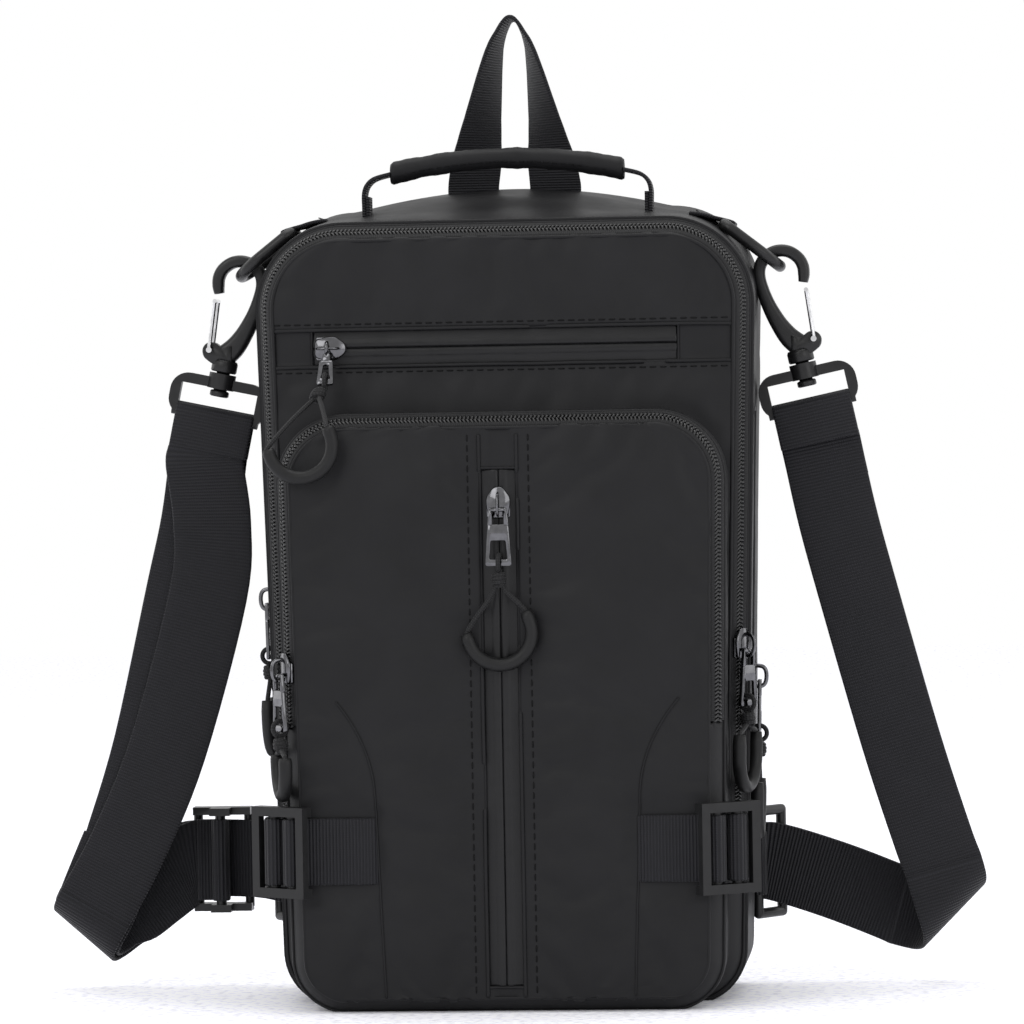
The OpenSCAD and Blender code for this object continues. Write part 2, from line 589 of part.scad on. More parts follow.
// Tri-glide: two rails, two outer bars behind the running strap and a centre bar in front
module tri_glide() color("#101012") translate([glide_x, 0, glide_z]) {
    bar_h = strap_w + 4;
    for (side = [-1, 1]) {
        translate([side * 10, 49.6, 0]) cylinder(h = bar_h + 2, r = 1.8, center = true);
        translate([0, 0, side * (bar_h / 2 + 1)]) block(-11.4, 11.4, 44, 51.4, -1.5, 1.5);
        translate([0, 0, side * (bar_h / 2 + 1)]) block(-4, 4, 37.6, 44, -1.5, 1.5);
    }
    translate([0, 40.3, 0]) cylinder(h = bar_h + 2, r = 2, center = true);
}
module strap_end_glide() color("#18181b") translate([glide_x, 40.3, glide_z]) {
    difference() {
        cylinder(h = strap_w, r = 2.1 + web_t, center = true);
        cylinder(h = strap_w + 2, r = 2.1, center = true);
    }
    block(-9.4, -2.4, 1.7, 1.7 + web_t, -strap_w / 2, strap_w / 2);
}

// Lower rings on webbing tabs at the back corners
module lower_tabs() color("#1b1b1e") for (side = [0, 1]) mirror([side, 0, 0]) difference() {
    translate([lower_tab_x, lower_tab_y, lower_ring_z]) difference() {
        union() {
            cylinder(h = 25, r = 3.7, center = true);
            block(-9, 0, 1.4, 3.6, -12.5, 12.5);
        }
        cylinder(h = 30, r = ring_d / 2 + 0.1, center = true);
    }
    body_block();
    back_panel();
}
module lower_ring() color("#101012")
    translate([lower_tab_x, lower_tab_y, lower_ring_z]) rotate([0, 0, ring_angle]) {
        reach = 15;
        h = strap_w + 8;
        for (x = [0, reach]) translate([x, 0, 0]) cylinder(h = h, r = ring_d / 2, center = true);
        for (side = [-1, 1]) translate([0, 0, side * h / 2]) {
            rotate([0, 90, 0]) cylinder(h = reach, r = ring_d / 2);
            for (x = [0, reach]) translate([x, 0, 0]) sphere(ring_d / 2);
        }
    }
module lower_ring_left() mirror([1, 0, 0]) lower_ring();
module lower_ring_right() lower_ring();

// Compression straps: a front strap to the buckle's first bar, a side strap from its second
module at_buckle() translate([cinch_x, cinch_y, cinch_z]) rotate([0, 0, cinch_angle]) children();
function buckle_point(u, v) = [cinch_x + u * cos(cinch_angle) - v * sin(cinch_angle),
    cinch_y + u * sin(cinch_angle) + v * cos(cinch_angle), cinch_z];
function flat_frames(p) = [for (i = [0:len(p) - 1]) [p[i], along(p, i), [0, 0, 1]]];
module cinch_straps() color("#1b1b1e") for (side = [0, 1]) mirror([side, 0, 0]) {
    face = pocket_y - 1.1;
    skin = side_x(main_edge, cinch_z) + 0.85;
    slope = [sin(lean(main_edge)), 0, cos(lean(main_edge))];
    difference() {
        union() {
            ribbon(flat_frames([[47, face, cinch_z], [66, face - 0.5, cinch_z],
                buckle_point(-bar_gap / 2 - 3, 3), buckle_point(-bar_gap / 2, 3)]), cinch_w);
            ribbon(concat(flat_frames([buckle_point(bar_gap / 2, 3.4),
                buckle_point(bar_gap / 2 + 7, 3.4), [skin - 2.5, -36, cinch_z]]),
                [for (y = [-22, 34.5]) [[skin, y, cinch_z], [0, 1, 0], slope]]), cinch_w);
            for (u = [-1, 1]) at_buckle() translate([u * bar_gap / 2, 0, 0])
                cylinder(h = cinch_w + 1, r = u < 0 ? 3.8 : 4.2, center = true);
        }
        for (u = [-1, 1]) at_buckle() translate([u * bar_gap / 2, 0, 0])
            cylinder(h = cinch_w + 2, r = u < 0 ? 2.1 : 2.6, center = true);
    }
}
module cinch_buckle() color("#121214") at_buckle() {
    h = 34;
    for (side = [-1, 1]) {
        translate([side * 11, 0, 0]) block(-1.8, 1.8, -3.6, -0.6, -h / 2, h / 2);
        translate([side * bar_gap / 2, 0, 0]) cylinder(h = h - 4, r = 2, center = true);
        translate([0, 0, side * (h / 2 - 1.8)]) block(-12.8, 12.8, -3.6, 1.6, -1.8, 1.8);
    }
}
module cinch_buckle_left() mirror([1, 0, 0]) cinch_buckle();
module cinch_buckle_right() cinch_buckle();

gusset();
base_panel();
back_panel();
back_pad();
back_stiffener();
divider_sleeve();
front_panel();
main_zip_tape();
main_zip_coil();
row_zip();
pocket_gusset();
pocket_face();
pocket_zip_tape();
pocket_zip_coil();
column_zip();
side_zips();
main_slider();
main_tab();
main_pull();
row_slider();
row_tab();
row_pull();
column_slider();
column_tab();
column_pull();
pocket_slider();
pocket_tab();
pocket_pull();
side_slider_left();
side_tab_left();
side_pull_left();
side_slider_right();
side_tab_right();
side_pull_right();
handle_roots();
handle_webbing();
handle_grip();
hanging_loop();
corner_tabs();
d_ring_left();
d_ring_right();
strap_loop_left();
strap_loop_right();
snap_hook_left();
snap_hook_right();
hook_gate_left();
hook_gate_right();
shoulder_strap();
strap_return();
strap_end_left();
strap_end_right();
strap_end_glide();
tri_glide();
lower_tabs();
lower_ring_left();
lower_ring_right();
cinch_straps();
cinch_buckle_left();
cinch_buckle_right();
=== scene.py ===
"""Sling bag: fabric shell, zips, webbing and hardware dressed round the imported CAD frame."""
import copy
import json
import math

import bmesh
import bpy
import numpy as np
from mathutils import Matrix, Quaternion, Vector, noise

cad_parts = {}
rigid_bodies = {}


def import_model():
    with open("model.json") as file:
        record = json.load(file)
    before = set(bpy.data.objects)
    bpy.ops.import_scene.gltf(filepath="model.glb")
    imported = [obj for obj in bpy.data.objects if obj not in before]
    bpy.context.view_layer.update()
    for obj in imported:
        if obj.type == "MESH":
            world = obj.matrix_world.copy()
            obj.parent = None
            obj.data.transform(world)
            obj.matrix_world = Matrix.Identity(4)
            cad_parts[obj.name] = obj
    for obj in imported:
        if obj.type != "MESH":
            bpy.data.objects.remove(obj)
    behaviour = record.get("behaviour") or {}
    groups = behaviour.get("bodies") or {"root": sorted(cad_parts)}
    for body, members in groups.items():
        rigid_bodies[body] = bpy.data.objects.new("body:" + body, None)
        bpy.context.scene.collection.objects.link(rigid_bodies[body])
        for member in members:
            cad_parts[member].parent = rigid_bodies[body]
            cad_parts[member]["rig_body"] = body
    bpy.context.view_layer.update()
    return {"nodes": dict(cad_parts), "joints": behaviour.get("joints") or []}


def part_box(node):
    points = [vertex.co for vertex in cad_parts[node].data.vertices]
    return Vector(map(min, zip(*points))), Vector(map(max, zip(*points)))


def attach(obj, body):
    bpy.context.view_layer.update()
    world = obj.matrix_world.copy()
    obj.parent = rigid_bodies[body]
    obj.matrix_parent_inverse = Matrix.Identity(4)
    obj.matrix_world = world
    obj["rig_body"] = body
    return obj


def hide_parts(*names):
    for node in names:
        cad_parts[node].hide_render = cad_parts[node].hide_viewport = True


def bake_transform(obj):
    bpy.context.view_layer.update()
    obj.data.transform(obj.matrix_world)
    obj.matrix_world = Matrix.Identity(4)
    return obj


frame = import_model()

MM = 0.001
ACROSS, BACK, UP = np.eye(3)


# ---------------------------------------------------------------- frame places, in millimetres
def node_box(name):
    """Lowest and highest corner of a CAD node, in millimetres."""
    low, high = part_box(name)
    return np.array(low) / MM, np.array(high) / MM


def joint_place(name):
    """Position and axis of a joint, in millimetres."""
    joint = next(j for j in frame["joints"] if j["name"] == name)
    return np.array(joint.get("pos_m", (0, 0, 0))) / MM, np.array(joint["axis"])


def unit(v):
    v = np.asarray(v, float)
    return v / np.linalg.norm(v)


def mix(a, b, t):
    return a + (b - a) * t


def distances(points):
    """Distance of each point from the first, along the line."""
    steps = np.linalg.norm(np.diff(points, axis=0), axis=1)
    return np.concatenate([[0], np.cumsum(steps)])


GUSSET_LOW, GUSSET_HIGH = node_box("gusset")
BACK_LOW, BACK_HIGH = node_box("back_panel")
SIDES = ((-1, "left"), (1, "right"))

TOP_R, BASE_R = 32, 20
TOP_HALF = GUSSET_HIGH[0]
BASE_HALF = TOP_HALF - 6.5
FRONT_H = 296
BACK_H = 302
BACK_RISE = BACK_HIGH[2] - BACK_H
LEAN = math.atan((TOP_HALF - BASE_HALF) / (FRONT_H - TOP_R - BASE_R))
GUSSET_Y = GUSSET_LOW[1]
PANEL_Y = node_box("front_panel")[0][1]
POCKET_Y = node_box("pocket_face")[0][1]
BACK_Y = BACK_LOW[1]

# Each edge: half widths, height, corner radii, and its zip band's two sides as (inset, y)
MAIN = dict(top=TOP_HALF, base=BASE_HALF, height=FRONT_H, top_r=TOP_R, base_r=BASE_R,
            outer=(0.3, -20.8), inner=(5.8, PANEL_Y))
POCKET = dict(top=84, base=81, height=224, top_r=26, base_r=20,
              outer=(0.3, POCKET_Y + 7.5), inner=(5.3, POCKET_Y + 0.3))


def outline(edge, inset=0.0, rise=0.0, height=None):
    """Outline of a tapered panel with round corners, from its base's right corner round."""
    per_arc = 24
    height = edge["height"] if height is None else height
    top_r, base_r = edge["top_r"], edge["base_r"]
    top, base = edge["top"] - top_r, edge["base"] - base_r
    points = []

    def arc(cx, cz, r, a0, a1):
        for i in range(per_arc + 1):
            a = math.radians(mix(a0, a1, i / per_arc))
            points.append((cx + r * math.cos(a), cz + r * math.sin(a)))

    arc(base, base_r, base_r - inset, -90, 0)
    arc(top, height - top_r, top_r - inset, 0, 90)
    for i in range(1, per_arc):
        t = 1 - 2 * i / per_arc
        points.append((top * t, height - inset + rise * (1 - t * t)))
    arc(-top, height - top_r, top_r - inset, 90, 180)
    arc(-base, base_r, base_r - inset, 180, 270)
    return np.array(points)


def even(points, count, closed=True):
    """The same line through evenly spaced points."""
    points = np.asarray(points, float)
    loop = np.vstack([points, points[:1]]) if closed else points
    total = distances(loop)
    places = np.linspace(0, total[-1], count + 1 if closed else count)
    places = places[:-1] if closed else places
    return np.stack([np.interp(places, total, loop[:, k]) for k in range(loop.shape[1])], 1)


def band_place(edge, s, depth):
    """(inset, y) at a distance s outward across a zip band and a depth behind its face."""
    (i0, y0), (i1, y1) = edge["outer"], edge["inner"]
    turn = math.atan2(y0 - y1, i1 - i0)
    inset = (i0 + i1) / 2 - s * math.cos(turn) + depth * math.sin(turn)
    return inset, (y0 + y1) / 2 + s * math.sin(turn) + depth * math.cos(turn)


def band_line(edge, s, depth, count, low=None):
    """Points along a zip band; with low, only the part above that height, base to base."""
    inset, y = band_place(edge, s, depth)
    flat = outline(edge, inset)
    if low is not None:
        flat = even(flat, 1600)
        start = np.argmin(np.where(flat[:, 0] > 0, np.abs(flat[:, 1] - low), 1e9))
        flat = np.roll(flat, -start, axis=0)
        end = np.argmin(np.where(flat[:, 0] < 0, np.abs(flat[:, 1] - low), 1e9))
        flat = even(flat[:end + 1], count, closed=False)
    else:
        flat = even(flat, count)
    return np.stack([flat[:, 0], np.full(len(flat), y), flat[:, 1]], 1)


# ---------------------------------------------------------------- mesh making
def make(name, verts, faces, material, body="root", uvs=None):
    """A piece from points in millimetres, with its material, riding on a body."""
    mesh = bpy.data.meshes.new(name)
    mesh.from_pydata([tuple(v) for v in np.asarray(verts) * MM], [], [tuple(f) for f in faces])
    if uvs is not None:
        layer = mesh.uv_layers.new(name="UVMap")
        loops = np.empty(len(mesh.loops), int)
        mesh.loops.foreach_get("vertex_index", loops)
        layer.data.foreach_set("uv", np.asarray(uvs, float)[loops].ravel())
    mesh.polygons.foreach_set("use_smooth", [True] * len(mesh.polygons))
    mesh.validate()
    mesh.update()
    obj = bpy.data.objects.new(name, mesh)
    bpy.context.scene.collection.objects.link(obj)
    mesh.materials.append(material)
    if body:
        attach(obj, body)
    return obj


def quads(rows, cols, close_rows=False, close_cols=False):
    """Faces of a grid stored row by row."""
    faces = []
    for j in range(rows if close_rows else rows - 1):
        for i in range(cols if close_cols else cols - 1):
            a, b = j * cols + i, j * cols + (i + 1) % cols
            c = ((j + 1) % rows) * cols
            faces.append((a, b, c + (i + 1) % cols, c + i))
    return faces


def backward(faces):
    return [f[::-1] for f in faces]


def caps(rows, cols):
    """End faces of a closed grid: the first ring turned over and the last ring."""
    return [tuple(range(cols))[::-1], tuple(range((rows - 1) * cols, rows * cols))]


class Parts:
    """Collects many small shapes into one mesh."""

    def __init__(self):
        self.verts, self.faces, self.uvs, self.count = [], [], [], 0

    def add(self, verts, faces, uvs=None):
        verts = np.asarray(verts, float)
        self.verts.append(verts)
        self.faces += [tuple(i + self.count for i in f) for f in faces]
        self.uvs.append(np.zeros((len(verts), 2)) if uvs is None else np.asarray(uvs, float))
        self.count += len(verts)

    def piece(self, name, material, body="root"):
        return make(name, np.vstack(self.verts), self.faces, material, body,
                    np.vstack(self.uvs))


def tangents(path, closed=False):
    path = np.asarray(path, float)
    if closed:
        t = np.roll(path, -1, 0) - np.roll(path, 1, 0)
    else:
        t = np.gradient(path, axis=0)
    return t / np.linalg.norm(t, axis=1)[:, None]


def frames_along(path, closed=False, up=None):
    """Side and normal directions along a path, carried without twist or held to an up list."""
    t = tangents(path, closed)
    if up is not None:
        n = np.broadcast_to(np.asarray(up, float), t.shape)
        side = np.cross(t, n)
        side /= np.linalg.norm(side, axis=1)[:, None]
        return side, np.cross(side, t)
    start = UP if abs(t[0][2]) < 0.8 else BACK
    side = [unit(np.cross(t[0], start))]
    for k in range(1, len(t)):
        side.append(unit(side[-1] - np.dot(side[-1], t[k]) * t[k]))
    side = np.array(side)
    return side, np.cross(side, t)


def smooth_path(points, per=8):
    """Catmull-Rom curve through given points."""
    p = np.asarray(points, float)
    last = len(p) - 1
    out = []
    for i in range(last):
        a, b, c, d = (p[min(max(k, 0), last)] for k in (i - 1, i, i + 1, i + 2))
        for k in range(per):
            t = k / per
            out.append(0.5 * (2 * b + (c - a) * t + (2 * a - 5 * b + 4 * c - d) * t * t
                              + (3 * b - a - 3 * c + d) * t ** 3))
    return np.array(out + [p[-1]])


def sweep(parts, path, section, closed=False, up=None, scale=None):
    """Adds a section (side, normal) swept along a path, with flat or joined ends."""
    side, normal = frames_along(path, closed, up)
    section = np.asarray(section, float)
    rows, cols = len(path), len(section)
    length, around = distances(path), distances(section)
    scale = np.ones(rows) if scale is None else np.asarray(scale)
    verts, uvs = [], []
    for k in range(rows):
        verts += [path[k] + (side[k] * a + normal[k] * b) * scale[k] for a, b in section]
        uvs += [(around[i], length[k]) for i in range(cols)]
    faces = backward(quads(rows, cols, closed, True))
    if not closed:
        faces += backward(caps(rows, cols))
    parts.add(verts, faces, uvs)


def ring_section(r, n=10, flat=1.0):
    return [(r * math.cos(2 * math.pi * i / n), flat * r * math.sin(2 * math.pi * i / n))
            for i in range(n)]


def band_section(width, thick):
    """Flat section with rounded edges."""
    half, r = width / 2 - thick / 2, thick / 2
    points = []
    for sign in (1, -1):
        for degrees in range(-90, 91, 30):
            a = math.radians(degrees)
            points.append((sign * (half + r * math.cos(a)), sign * r * math.sin(a)))
    return points


def modifier(obj, kind, **settings):
    m = obj.modifiers.new(kind.lower(), kind)
    for key, value in settings.items():
        setattr(m, key, value)
    return m


def thicken(obj, thick, offset):
    """Gives cloth a thickness in millimetres, inward (-1), outward (1) or both ways (0)."""
    modifier(obj, "SOLIDIFY", thickness=thick * MM, offset=offset)


def smoothed(obj):
    modifier(obj, "SUBSURF", levels=1, render_levels=1)


def vertex_places(obj):
    """Index, x and z of every vertex, in millimetres."""
    return [(i, v.co[0] / MM, v.co[2] / MM) for i, v in enumerate(obj.data.vertices)]


# ---------------------------------------------------------------- materials
class Shader:
    """A Principled material with a colour mix, a roughness mix and a chain of bumps."""

    def __init__(self, name, colour, rough, **sockets):
        self.mat = bpy.data.materials.new(name)
        self.mat.use_nodes = True
        self.tree = self.mat.node_tree
        self.bsdf = self.tree.nodes["Principled BSDF"]
        self.bsdf.inputs["Base Color"].default_value = (*colour, 1)
        self.bsdf.inputs["Roughness"].default_value = rough
        for key, value in sockets.items():
            self.bsdf.inputs[key.replace("_", " ")].default_value = value
        self.colour, self.rough, self.bump_from = colour, rough, None
        coords = self.tree.nodes.new("ShaderNodeTexCoord")
        self.place, self.uv = coords.outputs["Object"], coords.outputs["UV"]

    def node(self, kind, inputs=None, **settings):
        n = self.tree.nodes.new(kind)
        for key, value in settings.items():
            setattr(n, key, value)
        for key, value in (inputs or {}).items():
            if isinstance(value, bpy.types.NodeSocket):
                self.tree.links.new(value, n.inputs[key])
            else:
                n.inputs[key].default_value = value
        return n.outputs[0]

    def math(self, kind, a, b=0.0):
        return self.node("ShaderNodeMath", {0: a, 1: b}, operation=kind)

    def noise(self, per_mm, detail=3.0, stretch=(1, 1, 1)):
        """Noise with that many features to a millimetre, from 0 to 1."""
        scaled = self.node("ShaderNodeMapping", {
            "Vector": self.place, "Scale": tuple(s * per_mm * (1 / MM) for s in stretch)})
        return self.node("ShaderNodeTexNoise", {"Vector": scaled, "Scale": 1.0,
                                                "Detail": detail, "Roughness": 0.55})

    def wave(self, source, axis, pitch, units=MM):
        """Sine ridges across an axis of a coordinate, from 0 to 1."""
        part = self.node("ShaderNodeSeparateXYZ", {0: source})
        split = part.node.outputs[axis]
        angle = self.math("MULTIPLY", split, 2 * math.pi / (pitch * units))
        return self.math("MULTIPLY_ADD", self.math("SINE", angle), 0.5)

    def bump(self, height, distance_mm, strength=1.0):
        inputs = {"Height": height, "Distance": distance_mm * MM, "Strength": strength}
        if self.bump_from is not None:
            inputs["Normal"] = self.bump_from
        self.bump_from = self.node("ShaderNodeBump", inputs)
        self.tree.links.new(self.bump_from, self.bsdf.inputs["Normal"])

    def ramp(self, value, low, high, out_low, out_high):
        return self.node("ShaderNodeMapRange", {
            "Value": value, "From Min": low, "From Max": high,
            "To Min": out_low, "To Max": out_high})

    def vary(self, value, low, high, dark, light, rough_low, rough_high):
        """Colour and roughness that change with a value."""
        fac = self.ramp(value, low, high, 0.0, 1.0)
        mixed = self.node("ShaderNodeMix", {"Factor": fac, 6: (*dark, 1), 7: (*light, 1)},
                          data_type="RGBA")
        self.tree.links.new(mixed.node.outputs[2], self.bsdf.inputs["Base Color"])
        rough = self.ramp(value, low, high, rough_low, rough_high)
        self.tree.links.new(rough, self.bsdf.inputs["Roughness"])
        return self


def grey(value, blue=1.08):
    return (value, value, value * blue)


def shell_cloth(name, tone):
    """Coated nylon: soft sheen, faint cloudiness, a fine grain and soft handling creases."""
    s = Shader(name, grey(tone), 0.5, Sheen_Weight=0.0, Sheen_Roughness=0.45,
               Specular_IOR_Level=0.16)
    s.vary(s.noise(0.035, 4), 0.35, 0.7, grey(tone * 0.86), grey(tone * 1.16), 0.46, 0.58)
    s.bump(s.noise(0.05, 3, (1, 1, 0.6)), 0.9, 0.35)
    grain = s.math("MULTIPLY", s.wave(s.place, 2, 0.5), 0.5)
    s.bump(s.math("ADD", grain, s.noise(3.2, 2)), 0.03, 0.5)
    return s.mat


def webbing_cloth(name, tone, rib=1.25):
    """Nylon webbing: cross ribs along its length and fine warp threads, in strip units."""
    s = Shader(name, grey(tone, 1.25), 0.62, Sheen_Weight=0.05, Sheen_Roughness=0.5,
               Specular_IOR_Level=0.2)
    ribs = s.wave(s.uv, 1, rib, 1)
    warp = s.wave(s.uv, 0, 0.9, 1)
    weave = s.math("MULTIPLY_ADD", s.math("MULTIPLY", ribs, warp), 0.45)
    height = s.math("ADD", ribs, weave)
    # Colour follows the weave's height: painted shade in the valleys between ribs and a painted
    # highlight on the rib tops, plus random tone from noise.
    s.vary(s.math("ADD", height, s.math("MULTIPLY", s.noise(0.08, 3), 0.7)), 0.2, 2.1,
           grey(tone * 0.5, 1.2), grey(tone * 1.5, 1.25), 0.7, 0.52)
    s.bump(height, 0.28, 0.9)
    s.bump(s.noise(2.5, 2), 0.06, 0.5)
    return s.mat


def tape_cloth(name, tone):
    """Woven zip tape: fine herringbone lines."""
    s = Shader(name, grey(tone), 0.7, Sheen_Weight=0.04, Specular_IOR_Level=0.18)
    lines = s.wave(s.uv, 1, 0.8, 1)
    # Colour follows the woven lines: painted shade in their grooves and a painted highlight on
    # their ridges, plus random tone from noise.
    s.vary(s.math("ADD", lines, s.noise(0.5, 2)), 0.3, 1.7, grey(tone * 0.7), grey(tone * 1.3),
           0.72, 0.6)
    s.bump(lines, 0.08, 0.6)
    return s.mat


def film_cloth(name, tone):
    """Laminated zip tape: a smooth matt film with slow ripples."""
    s = Shader(name, grey(tone), 0.36, Specular_IOR_Level=0.25)
    s.vary(s.noise(0.12, 3, (1, 1, 3)), 0.3, 0.7, grey(tone * 0.85), grey(tone * 1.2), 0.3, 0.42)
    s.bump(s.noise(0.25, 3, (0.6, 1, 2)), 0.25, 0.4)
    s.bump(s.noise(4.0, 2), 0.02, 0.4)
    return s.mat


def plain(name, tone, rough, grain=2.0, depth=0.03, blue=1.05, **sockets):
    """Moulded or turned surfaces: cloudy roughness, worn lighter patches and a fine grain."""
    s = Shader(name, grey(tone, blue), rough, **sockets)
    s.vary(s.noise(0.3, 4), 0.35, 0.72, grey(tone * 0.85, blue), grey(tone * 1.25, blue),
           rough - 0.06, rough + 0.06)
    s.bump(s.noise(grain, 3), depth, 0.5)
    return s.mat


def braided(name, tone):
    """Braided cord: crossing threads round the cord."""
    s = Shader(name, grey(tone), 0.6, Sheen_Weight=0.05, Specular_IOR_Level=0.25)
    cross = s.math("MULTIPLY", s.wave(s.uv, 1, 0.9, 1), s.wave(s.uv, 0, 0.8, 1))
    # Colour follows the braid's relief: painted shade in the gaps between threads and a painted
    # highlight where they cross.
    s.vary(cross, 0.05, 0.7, grey(tone * 0.6), grey(tone * 1.7), 0.68, 0.5)
    s.bump(cross, 0.2, 0.9)
    return s.mat


def air_mesh(name, tone):
    """Spacer mesh: a close field of small round holes."""
    s = Shader(name, grey(tone), 0.75, Sheen_Weight=0.08, Specular_IOR_Level=0.2)
    flat = s.node("ShaderNodeMapping", {"Vector": s.place, "Scale": (330, 0, 330)})
    holes = s.node("ShaderNodeTexVoronoi", {"Vector": flat, "Randomness": 0.12, "Scale": 1.0})
    # The holes are coloured near black: painted shade inside them, lighter on the mesh between.
    s.vary(holes, 0.15, 0.45, grey(tone * 0.25), grey(tone * 1.3), 0.85, 0.65)
    s.bump(s.ramp(holes, 0.1, 0.42, 0.0, 1.0), 0.7, 0.9)
    s.bump(s.noise(3.0, 2), 0.05, 0.6)
    return s.mat


SHELL = shell_cloth("shell_cloth", 0.0105)
FACE = shell_cloth("pocket_cloth", 0.0098)
TRIM = shell_cloth("trim_cloth", 0.0085)
LINING = tape_cloth("lining_cloth", 0.05)
WEBBING = webbing_cloth("webbing_cloth", 0.0075)
FINE_WEBBING = webbing_cloth("fine_webbing_cloth", 0.007, 1.0)
TAPE = tape_cloth("zip_tape_cloth", 0.008)
FILM = film_cloth("laminated_tape", 0.007)
MESH = air_mesh("air_mesh_cloth", 0.01)
THREAD = plain("thread", 0.004, 0.6, grain=6.0, Specular_IOR_Level=0.12)
COIL = plain("coil_nylon", 0.006, 0.24, grain=3.0, Specular_IOR_Level=0.5)
METAL = plain("black_nickel", 0.12, 0.15, grain=1.2, depth=0.02, Metallic=1.0)
STEEL = plain("spring_steel", 0.62, 0.16, grain=1.5, depth=0.01, blue=1.02, Metallic=1.0)
PLASTIC = plain("moulded_acetal", 0.007, 0.38, grain=3.5, depth=0.03, Specular_IOR_Level=0.32)
RUBBER = plain("grip_rubber", 0.006, 0.5, grain=2.5, depth=0.04, Specular_IOR_Level=0.25)
CORD = braided("braided_cord", 0.009)
BOARD = plain("stiffener_board", 0.6, 0.45)


# ---------------------------------------------------------------- shell panels
TAPE_HALF = 7
ROW_BOX, COLUMN_BOX = node_box("row_zip"), node_box("column_zip")
ROW_X0, ROW_X1 = ROW_BOX[0][0], ROW_BOX[1][0]
ROW_Z = (ROW_BOX[0][2] + ROW_BOX[1][2]) / 2
COL_Z0, COL_Z1 = COLUMN_BOX[0][2], COLUMN_BOX[1][2]
SIDE_BOX = node_box("side_zips")
SIDE_Z0, SIDE_Z1 = SIDE_BOX[0][2], SIDE_BOX[1][2]
SIDE_Y = (SIDE_BOX[0][1] + SIDE_BOX[1][1]) / 2
ZIP_END = 108
MAIN_ZIP_END = 60
STRIP_DEPTH = 1.1


def half_width(edge, inset, z):
    """Half width of an edge's outline at a height."""
    if z < edge["base_r"]:
        r = edge["base_r"] - inset
        drop = min(edge["base_r"] - z, r)
        return edge["base"] - edge["base_r"] + math.sqrt(r * r - drop * drop)
    shoulder = edge["height"] - edge["top_r"]
    if z > shoulder:
        r = edge["top_r"] - inset
        rise = min(z - shoulder, r)
        return edge["top"] - edge["top_r"] + math.sqrt(r * r - rise * rise)
    t = (z - edge["base_r"]) / (shoulder - edge["base_r"])
    return mix(edge["base"], edge["top"], t) - inset


def marked(low, high, step, marks):
    """Even places from low to high that also hit every mark."""
    stops = sorted({low, high, *marks})
    places = []
    for a, b in zip(stops, stops[1:]):
        count = max(1, round((b - a) / step))
        places += [mix(a, b, i / count) for i in range(count)]
    return places + [high]


def panel(name, edge, inset, depth_at, material, holes=(), step=3.0, marks=((), ())):
    """A fabric panel inside an edge, with holes (x0, x1, z0, z1) and its border vertices."""
    low, high = inset, edge["height"] - inset
    arcs = [edge["base_r"] - (edge["base_r"] - inset) * math.cos(math.radians(a))
            for a in (8, 16, 25, 35, 46, 58, 72)]
    tops = [edge["height"] - edge["top_r"] + (edge["top_r"] - inset) * math.sin(math.radians(a))
            for a in (18, 32, 44, 55, 65, 74, 82)]
    zs = marked(low, high, step, [*arcs, *tops, *marks[1], *(v for h in holes for v in h[2:])])
    middle = half_width(edge, inset, (holes[0][2] + holes[0][3]) / 2 if holes else high / 2)
    us = marked(-1, 1, step / middle,
                [0, *(v / middle for v in marks[0]), *(v / middle for h in holes for v in h[:2])])
    verts, border = [], []
    for j, z in enumerate(zs):
        reach = half_width(edge, inset, z)
        for i, u in enumerate(us):
            x = u * reach
            verts.append((x, depth_at(x, z, u), z))
            border.append(j in (0, len(zs) - 1) or i in (0, len(us) - 1))
    verts = np.array(verts)
    faces = []
    for f in quads(len(zs), len(us)):
        cx, cz = verts[list(f)][:, 0].mean(), verts[list(f)][:, 2].mean()
        if not any(x0 < cx < x1 and z0 < cz < z1 for x0, x1, z0, z1 in holes):
            faces.append(f)
    used = sorted({i for f in faces for i in f})
    renumber = {old: new for new, old in enumerate(used)}
    faces = [tuple(renumber[i] for i in f) for f in faces]
    obj = make(name, verts[used], faces, material, "root")
    return obj, np.array(border)[used]


def settle(obj, held, pressure, grow, cap_mm):
    """Cloth simulation of a panel, held at some vertices, with its movement capped."""
    frames, stiffness, bend = 20, 12.0, 0.6
    group = obj.vertex_groups.new(name="held")
    for i, weight in enumerate(held):
        if weight > 0:
            group.add([i], float(weight), "REPLACE")
    cloth = modifier(obj, "CLOTH")
    st = cloth.settings
    st.quality, st.mass, st.vertex_group_mass = 5, 0.15, "held"
    st.tension_stiffness = st.compression_stiffness = stiffness
    st.shear_stiffness, st.bending_stiffness = stiffness / 2, bend
    st.use_pressure, st.uniform_pressure_force = True, pressure
    st.shrink_min = st.shrink_max = -grow
    st.effector_weights.gravity = 0
    cloth.collision_settings.use_collision = False
    cloth.point_cache.frame_start, cloth.point_cache.frame_end = 1, frames
    scene = bpy.context.scene
    for k in range(1, frames + 1):
        scene.frame_set(k)
    count = len(obj.data.vertices)
    rest, moved = np.empty(count * 3), np.empty(count * 3)
    obj.data.vertices.foreach_get("co", rest)
    done = obj.evaluated_get(bpy.context.evaluated_depsgraph_get()).to_mesh()
    done.vertices.foreach_get("co", moved)
    rest, moved = rest.reshape(-1, 3), moved.reshape(-1, 3)
    shift = np.nan_to_num(moved - rest)
    size = np.linalg.norm(shift, axis=1, keepdims=True)
    cap = cap_mm * MM
    shift *= cap * np.tanh(size / cap) / np.maximum(size, 1e-9)
    obj.modifiers.remove(cloth)
    obj.data.vertices.foreach_set("co", (rest + shift).ravel())
    obj.data.update()
    obj.vertex_groups.clear()
    scene.frame_set(1)


